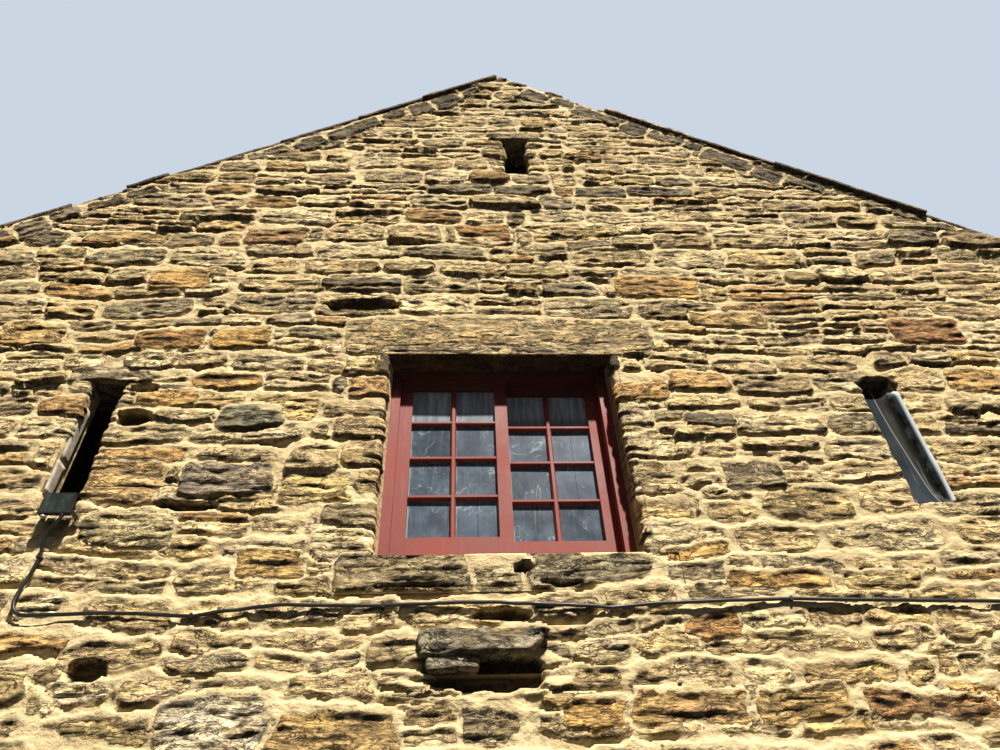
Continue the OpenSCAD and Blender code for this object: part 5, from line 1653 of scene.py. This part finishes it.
def laySideDressings():
    values, random = dressingSet, np.random.default_rng(dressingSet["seed"])
    reach, lintelDeep, lintelCells = values["reach"], values["lintelDeep"], (30, 6, 7)

    def tone(base=values["tone"]):
        return np.array(base) * random.uniform(0.85, 1.15)

    def newSeed():
        return int(random.integers(100, 900))

    for run in (backRun, rightRun, leftRun):
        blocks = []
        for hole in [windowOpening] if run is backRun else sideOpenings:
            lintel, sill = dressedOpening(hole)[1:]
            seed = newSeed()
            blocks.append(wallBlock(run, inset(lintel, head=0.006), reach, lintelDeep, lintelCells, seed,
                                    tone()))
            blocks.append(wallBlock(run, inset(sill, foot=0.006), reach, values["sillDeep"], (26, 6, 6),
                                    seed + 1, tone(), 0.022))
        if run is backRun:
            blocks += [wallBlock(run, headOver(*head), reach + 0.004, values["headDeep"], (12, 5, 4),
                                 newSeed(), tone(values["headTone"])) for head in backHeads]
        if run is leftRun:
            rect = inset(lintelOver(doorOpening, doorOpening["w"] / 2), 0.0, head=0.006)
            blocks.append(wallBlock(run, rect, reach, lintelDeep, lintelCells, 777, tone()))
        joinBlocks(run["name"] + "_dressed_stones", blocks, toneStoneMaterial, "dressed_stone",
                   run["name"] + "_dressings")
    blocks = [wallBlock(frontRun, headOver(hole, length, height), out, values["headDeep"], (22, 10, 7),
                        newSeed(), tone(color), 0.0, 0.011)
              for hole, length, height, out, color in frontHeads]
    joinBlocks("front_rough_heads", blocks, toneStoneMaterial, "dark_stone", "front_head_stones")


laySideDressings()


# Upright boards of the door

doorSet = {"boards": 7, "gap": 0.004, "seed": 33}


def boardDoor():
    low, high = boxOf("door_leaf")
    pitch = (high[1] - low[1]) / doorSet["boards"]
    random, points, faces = np.random.default_rng(doorSet["seed"]), [], []
    template, quads = blockTemplate((2, 3, 8))
    for number in range(doorSet["boards"]):
        y0 = low[1] + pitch * number + doorSet["gap"] / 2
        foot = np.array([low[0], y0, low[2] + random.uniform(0.0, 0.008)])
        head = np.array([high[0], y0 + pitch - doorSet["gap"], high[2]])
        spot = (foot + head) / 2 + template * ((head - foot) / 2)
        # a small bevel beside each joint and a board's own slight cupping
        isOuter = template[:, 0] < 0
        spot[:, 0] += np.where((np.abs(template[:, 1]) > 0.99) & isOuter, 0.005, 0.0)
        spot[:, 0] += 0.0015 * np.sin(template[:, 2] * 2.0 + number) * isOuter
        faces.append(quads + len(spot) * number)
        points.append(spot)
    leaf = meshFrom("door_boards", np.concatenate(points), np.concatenate(faces), paintMaterial,
                    smoothFaces=False)
    finishPiece(leaf, "red_paint", "door_leaf")


boardDoor()


# A strip of old board stands in the left slit, and a pale plug sits under the lamp

slitBoardSet = {"out": 0.035, "pieces": ((3.69, 3.875, 0.000), (3.885, 4.235, 0.012)), "width": 0.075,
                "thickness": 0.010, "tone": (0.48, 0.43, 0.34)}


def fitSlitBoard():
    edge = slitOpenings[0]["s"] - slitShape["w"] / 2 + 0.004
    blocks = []
    for number, (z0, z1, shift) in enumerate(slitBoardSet["pieces"]):
        low = (edge, -halfLength + slitBoardSet["out"] - 0.030 + shift, z0)
        high = (edge + slitBoardSet["thickness"], low[1] + slitBoardSet["width"], z1)
        blocks.append((*roughBlock(low, high, (1, 4, 9), 510 + number, 0.002, 0.0, 0.1, 0.0015),
                       slitBoardSet["tone"]))
    joinBlocks("slit_board", blocks, greyBoardMaterial, "pine")


# The sheet in the right slit is old plastic; its long edges and its foot curl outwards

sheetSet = {"leftCurl": 0.058, "leftBend": 6.0, "rightCurl": 0.088, "rightBend": 4.0, "footBend": 9.0,
            "thickness": 0.003, "across": 20, "up": 60, "wave": 0.004, "inset": 0.002}


def bendSlitSheet():
    values = sheetSet
    low, high = boxOf("right_slit_glass")
    u, v = np.meshgrid(np.linspace(-1, 1, values["across"] + 1), np.linspace(0, 1, values["up"] + 1))
    x = (low[0] + high[0]) / 2 + ((high[0] - low[0]) / 2 - values["inset"]) * u
    z = low[2] + (high[2] - low[2]) * v
    rightBend, leftBend = (values[key + "Curl"] * np.abs(u) ** values[key + "Bend"]
                           for key in ("right", "left"))
    bend = np.where(u > 0, rightBend, leftBend) * smooth(v, 1.0, 0.86)
    bend = np.maximum(bend, values["leftCurl"] * (1 - 0.9 * v) ** values["footBend"])
    y = low[1] - bend - values["wave"] * latticeNoise(x, z, 0.06, 0.14, 71)
    index = np.arange(u.size).reshape(u.shape)
    quads = gridQuads(*u.shape).reshape(-1, 4)
    rim = np.concatenate([index[0, :-1], index[:-1, -1], index[-1, :0:-1], index[:0:-1, 0]])
    after = np.roll(rim, -1)
    edges = np.stack([after, rim, rim + u.size, after + u.size], axis=-1)
    faces = np.concatenate([quads, quads[:, ::-1] + u.size, edges])
    sides = [np.stack([x, y + back, z], axis=-1).reshape(-1, 3) for back in (0.0, values["thickness"])]
    sheet = meshFrom("slit_sheet", np.concatenate(sides), faces, slitGlassMaterial)
    finishPiece(sheet, "old_glass", "right_slit_glass")


plugSet = {"radius": 0.012, "flatness": 0.8}


def fitLampPlug():
    low, high = boxOf("floodlight_housing")
    plug = bmesh.new()
    bmesh.ops.create_uvsphere(plug, u_segments=20, v_segments=12, radius=plugSet["radius"])
    for vertex in plug.verts:
        vertex.co.z *= plugSet["flatness"]
        vertex.co += Vector((low[0] + 0.026, (low[1] + high[1]) / 2 - 0.006, low[2] - 0.001))
    for face in plug.faces:
        face.smooth = True
    mesh = bpy.data.meshes.new("lamp_plug")
    plug.to_mesh(mesh)
    plug.free()
    mesh.materials.append(glandMaterial)
    finishPiece(addObject("lamp_plug", mesh), "cable_rubber")


# The lamp's cable: X, distance in front of the wall and Z of each point, in millimetres
cableRoute = [
    (-2092, 77, 3500), (-2094, 77, 3484), (-2108, 70, 3462), (-2132, 57, 3440), (-2144, 42, 3400),
    (-2140, 28, 3340), (-2140, 28, 3308), (-2150, 26, 3230), (-2162, 28, 3165), (-2160, 32, 3110),
    (-2140, 34, 3074), (-2100, 34, 3058), (-1960, 28, 3062), (-1811, 24, 3068), (-1632, 28, 3060),
    (-1455, 22, 3048), (-1425, 22, 3048), (-1315, 26, 3062), (-1188, 30, 3079), (-1083, 34, 3087),
    (-929, 30, 3084), (-682, 22, 3082), (-652, 22, 3082), (-352, 28, 3089), (-181, 32, 3085),
    (-47, 30, 3073), (154, 26, 3065), (274, 22, 3056), (304, 22, 3056), (395, 28, 3064),
    (488, 34, 3068), (763, 36, 3075), (1049, 24, 3084), (1079, 24, 3084), (1320, 30, 3073),
    (1972, 28, 3056), (2500, 26, 3062), (3100, 26, 3064), (3280, 20, 3068), (3300, 0, 3069),
]
# the relief under the cable is looked up on a grid from left to right and from foot to head
cableSet = {"Radius": 0.0079, "Sides": 14, "Steps": 6, "spacing": 0.06, "clearance": 0.0085,
            "lastStone": 3.25, "left": -2.24, "right": 3.34, "foot": 2.98, "head": 3.56, "step": 0.02}


def cableTree():
    # a smooth curve through the route's points, swept by a circle
    tree = GeometryTree("cableSweep", "Radius", "Sides, Steps")
    given = tree.given
    route = tree.make("MeshToCurve", {"Mesh": given["Geometry"]})
    bent = tree.make("CurveSplineType", {"Curve": route}, spline_type="CATMULL_ROM")
    fine = tree.make("SetSplineResolution", {"Geometry": bent, "Resolution": given["Steps"]})
    circle = tree.make("CurvePrimitiveCircle", {"Resolution": given["Sides"], "Radius": given["Radius"]})
    return tree.finish(tree.make("CurveToMesh", {"Curve": fine, "Profile Curve": circle, "Fill Caps": True}),
                       True)


def runCable():
    base = bpy.data.meshes.new("cableRoute")
    left, right, foot, head, step = (cableSet[key] for key in ("left", "right", "foot", "head", "step"))
    s, z = np.meshgrid(np.arange(left, right, step), np.arange(foot, head, step))
    bumps = rubbleField(s + frontMiddle, z)[0]
    route = np.array(cableRoute) / 1000
    spots = []
    for first, second in zip(route, route[1:]):
        pieces = max(1, int(np.linalg.norm(second - first) / cableSet["spacing"]))
        for k in range(pieces):
            x, out, level = first + (second - first) * k / pieces
            # the cable lies over the stones that stand out
            column, row = int(round((x - left) / step)), int(round((level - foot) / step))
            under = bumps[max(row - 1, 0):row + 2, max(column - 1, 0):column + 2].max()
            if x < cableSet["lastStone"]:
                out = max(out, under + cableSet["clearance"])
            spots.append((x, -halfLength - out, level))
    spots.append((route[-1, 0], -halfLength, route[-1, 2]))
    base.from_pydata(spots, [(k, k + 1) for k in range(len(spots) - 1)], [])
    cable = cableTree().grow("lamp_cable", base, cableSet, {"Material": cableMaterial})
    finishPiece(cable, "cable_rubber", "floodlight_cable")


fitSlitBoard()
bendSlitSheet()
fitLampPlug()
runCable()
print("dressings, door and fittings done")


# The CAD nodes that stay get their finishes

nodeFinishes = [
    (mortarMaterial, "front_gable_wall back_gable_wall left_side_wall right_side_wall"),
    (flagMaterial, "ground_floor"),
    (oakMaterial, "floor_beams roof_trusses purlins ridge_beam timber_lintels"),
    (pineMaterial, "floor_joists upper_floor wall_plates rafters"),
    (slateMaterial, "left_roof_slates right_roof_slates ridge_stones"),
    (tanStoneMaterial, "front_window_lintel front_window_sill back_dressings left_dressings right_dressings"
                       " door_threshold"),
    (darkStoneMaterial, "front_head_stones corbel_stone"),
    (paintMaterial, "front_window_frame front_window_left_sash front_window_right_sash back_window_frame"
                    " back_window_sashes left_window_frames left_window_sashes right_window_frames"
                    " right_window_sashes door_frame door_leaf"),
    (windowGlassMaterial, "front_window_left_glass front_window_right_glass back_window_glass"
                          " left_window_glass right_window_glass"),
    (slitGlassMaterial, "right_slit_glass"),
    (blackMetalMaterial, "floodlight_housing floodlight_bracket"),
    (lensMaterial, "floodlight_glass"),
    (cableMaterial, "floodlight_cable cable_clips"),
    (ironMaterial, "door_ironwork"),
]
for material, names in nodeFinishes:
    for name in names.split():
        nodes[name].data.materials.clear()
        nodes[name].data.materials.append(material)


# Plain pale floor

def makeFloor():
    shader = Shader("paleFloor")
    tone = shader.noise(3.0, (1, 1, 1), 2.0, 0.5)
    color = shader.shade(studioSet["floor"], shader.ramp(tone, 0.3, 0.7, 0.97, 1.0))
    size = 60.0
    corners = [(x * size, y * size, -0.002) for x, y in ((-1, -1), (1, -1), (1, 1), (-1, 1))]
    floor = meshFrom("studioFloor", corners, [(0, 1, 2, 3)], shader.finish(color, 0.9), smoothFaces=False)
    floor.visible_diffuse = False


makeFloor()
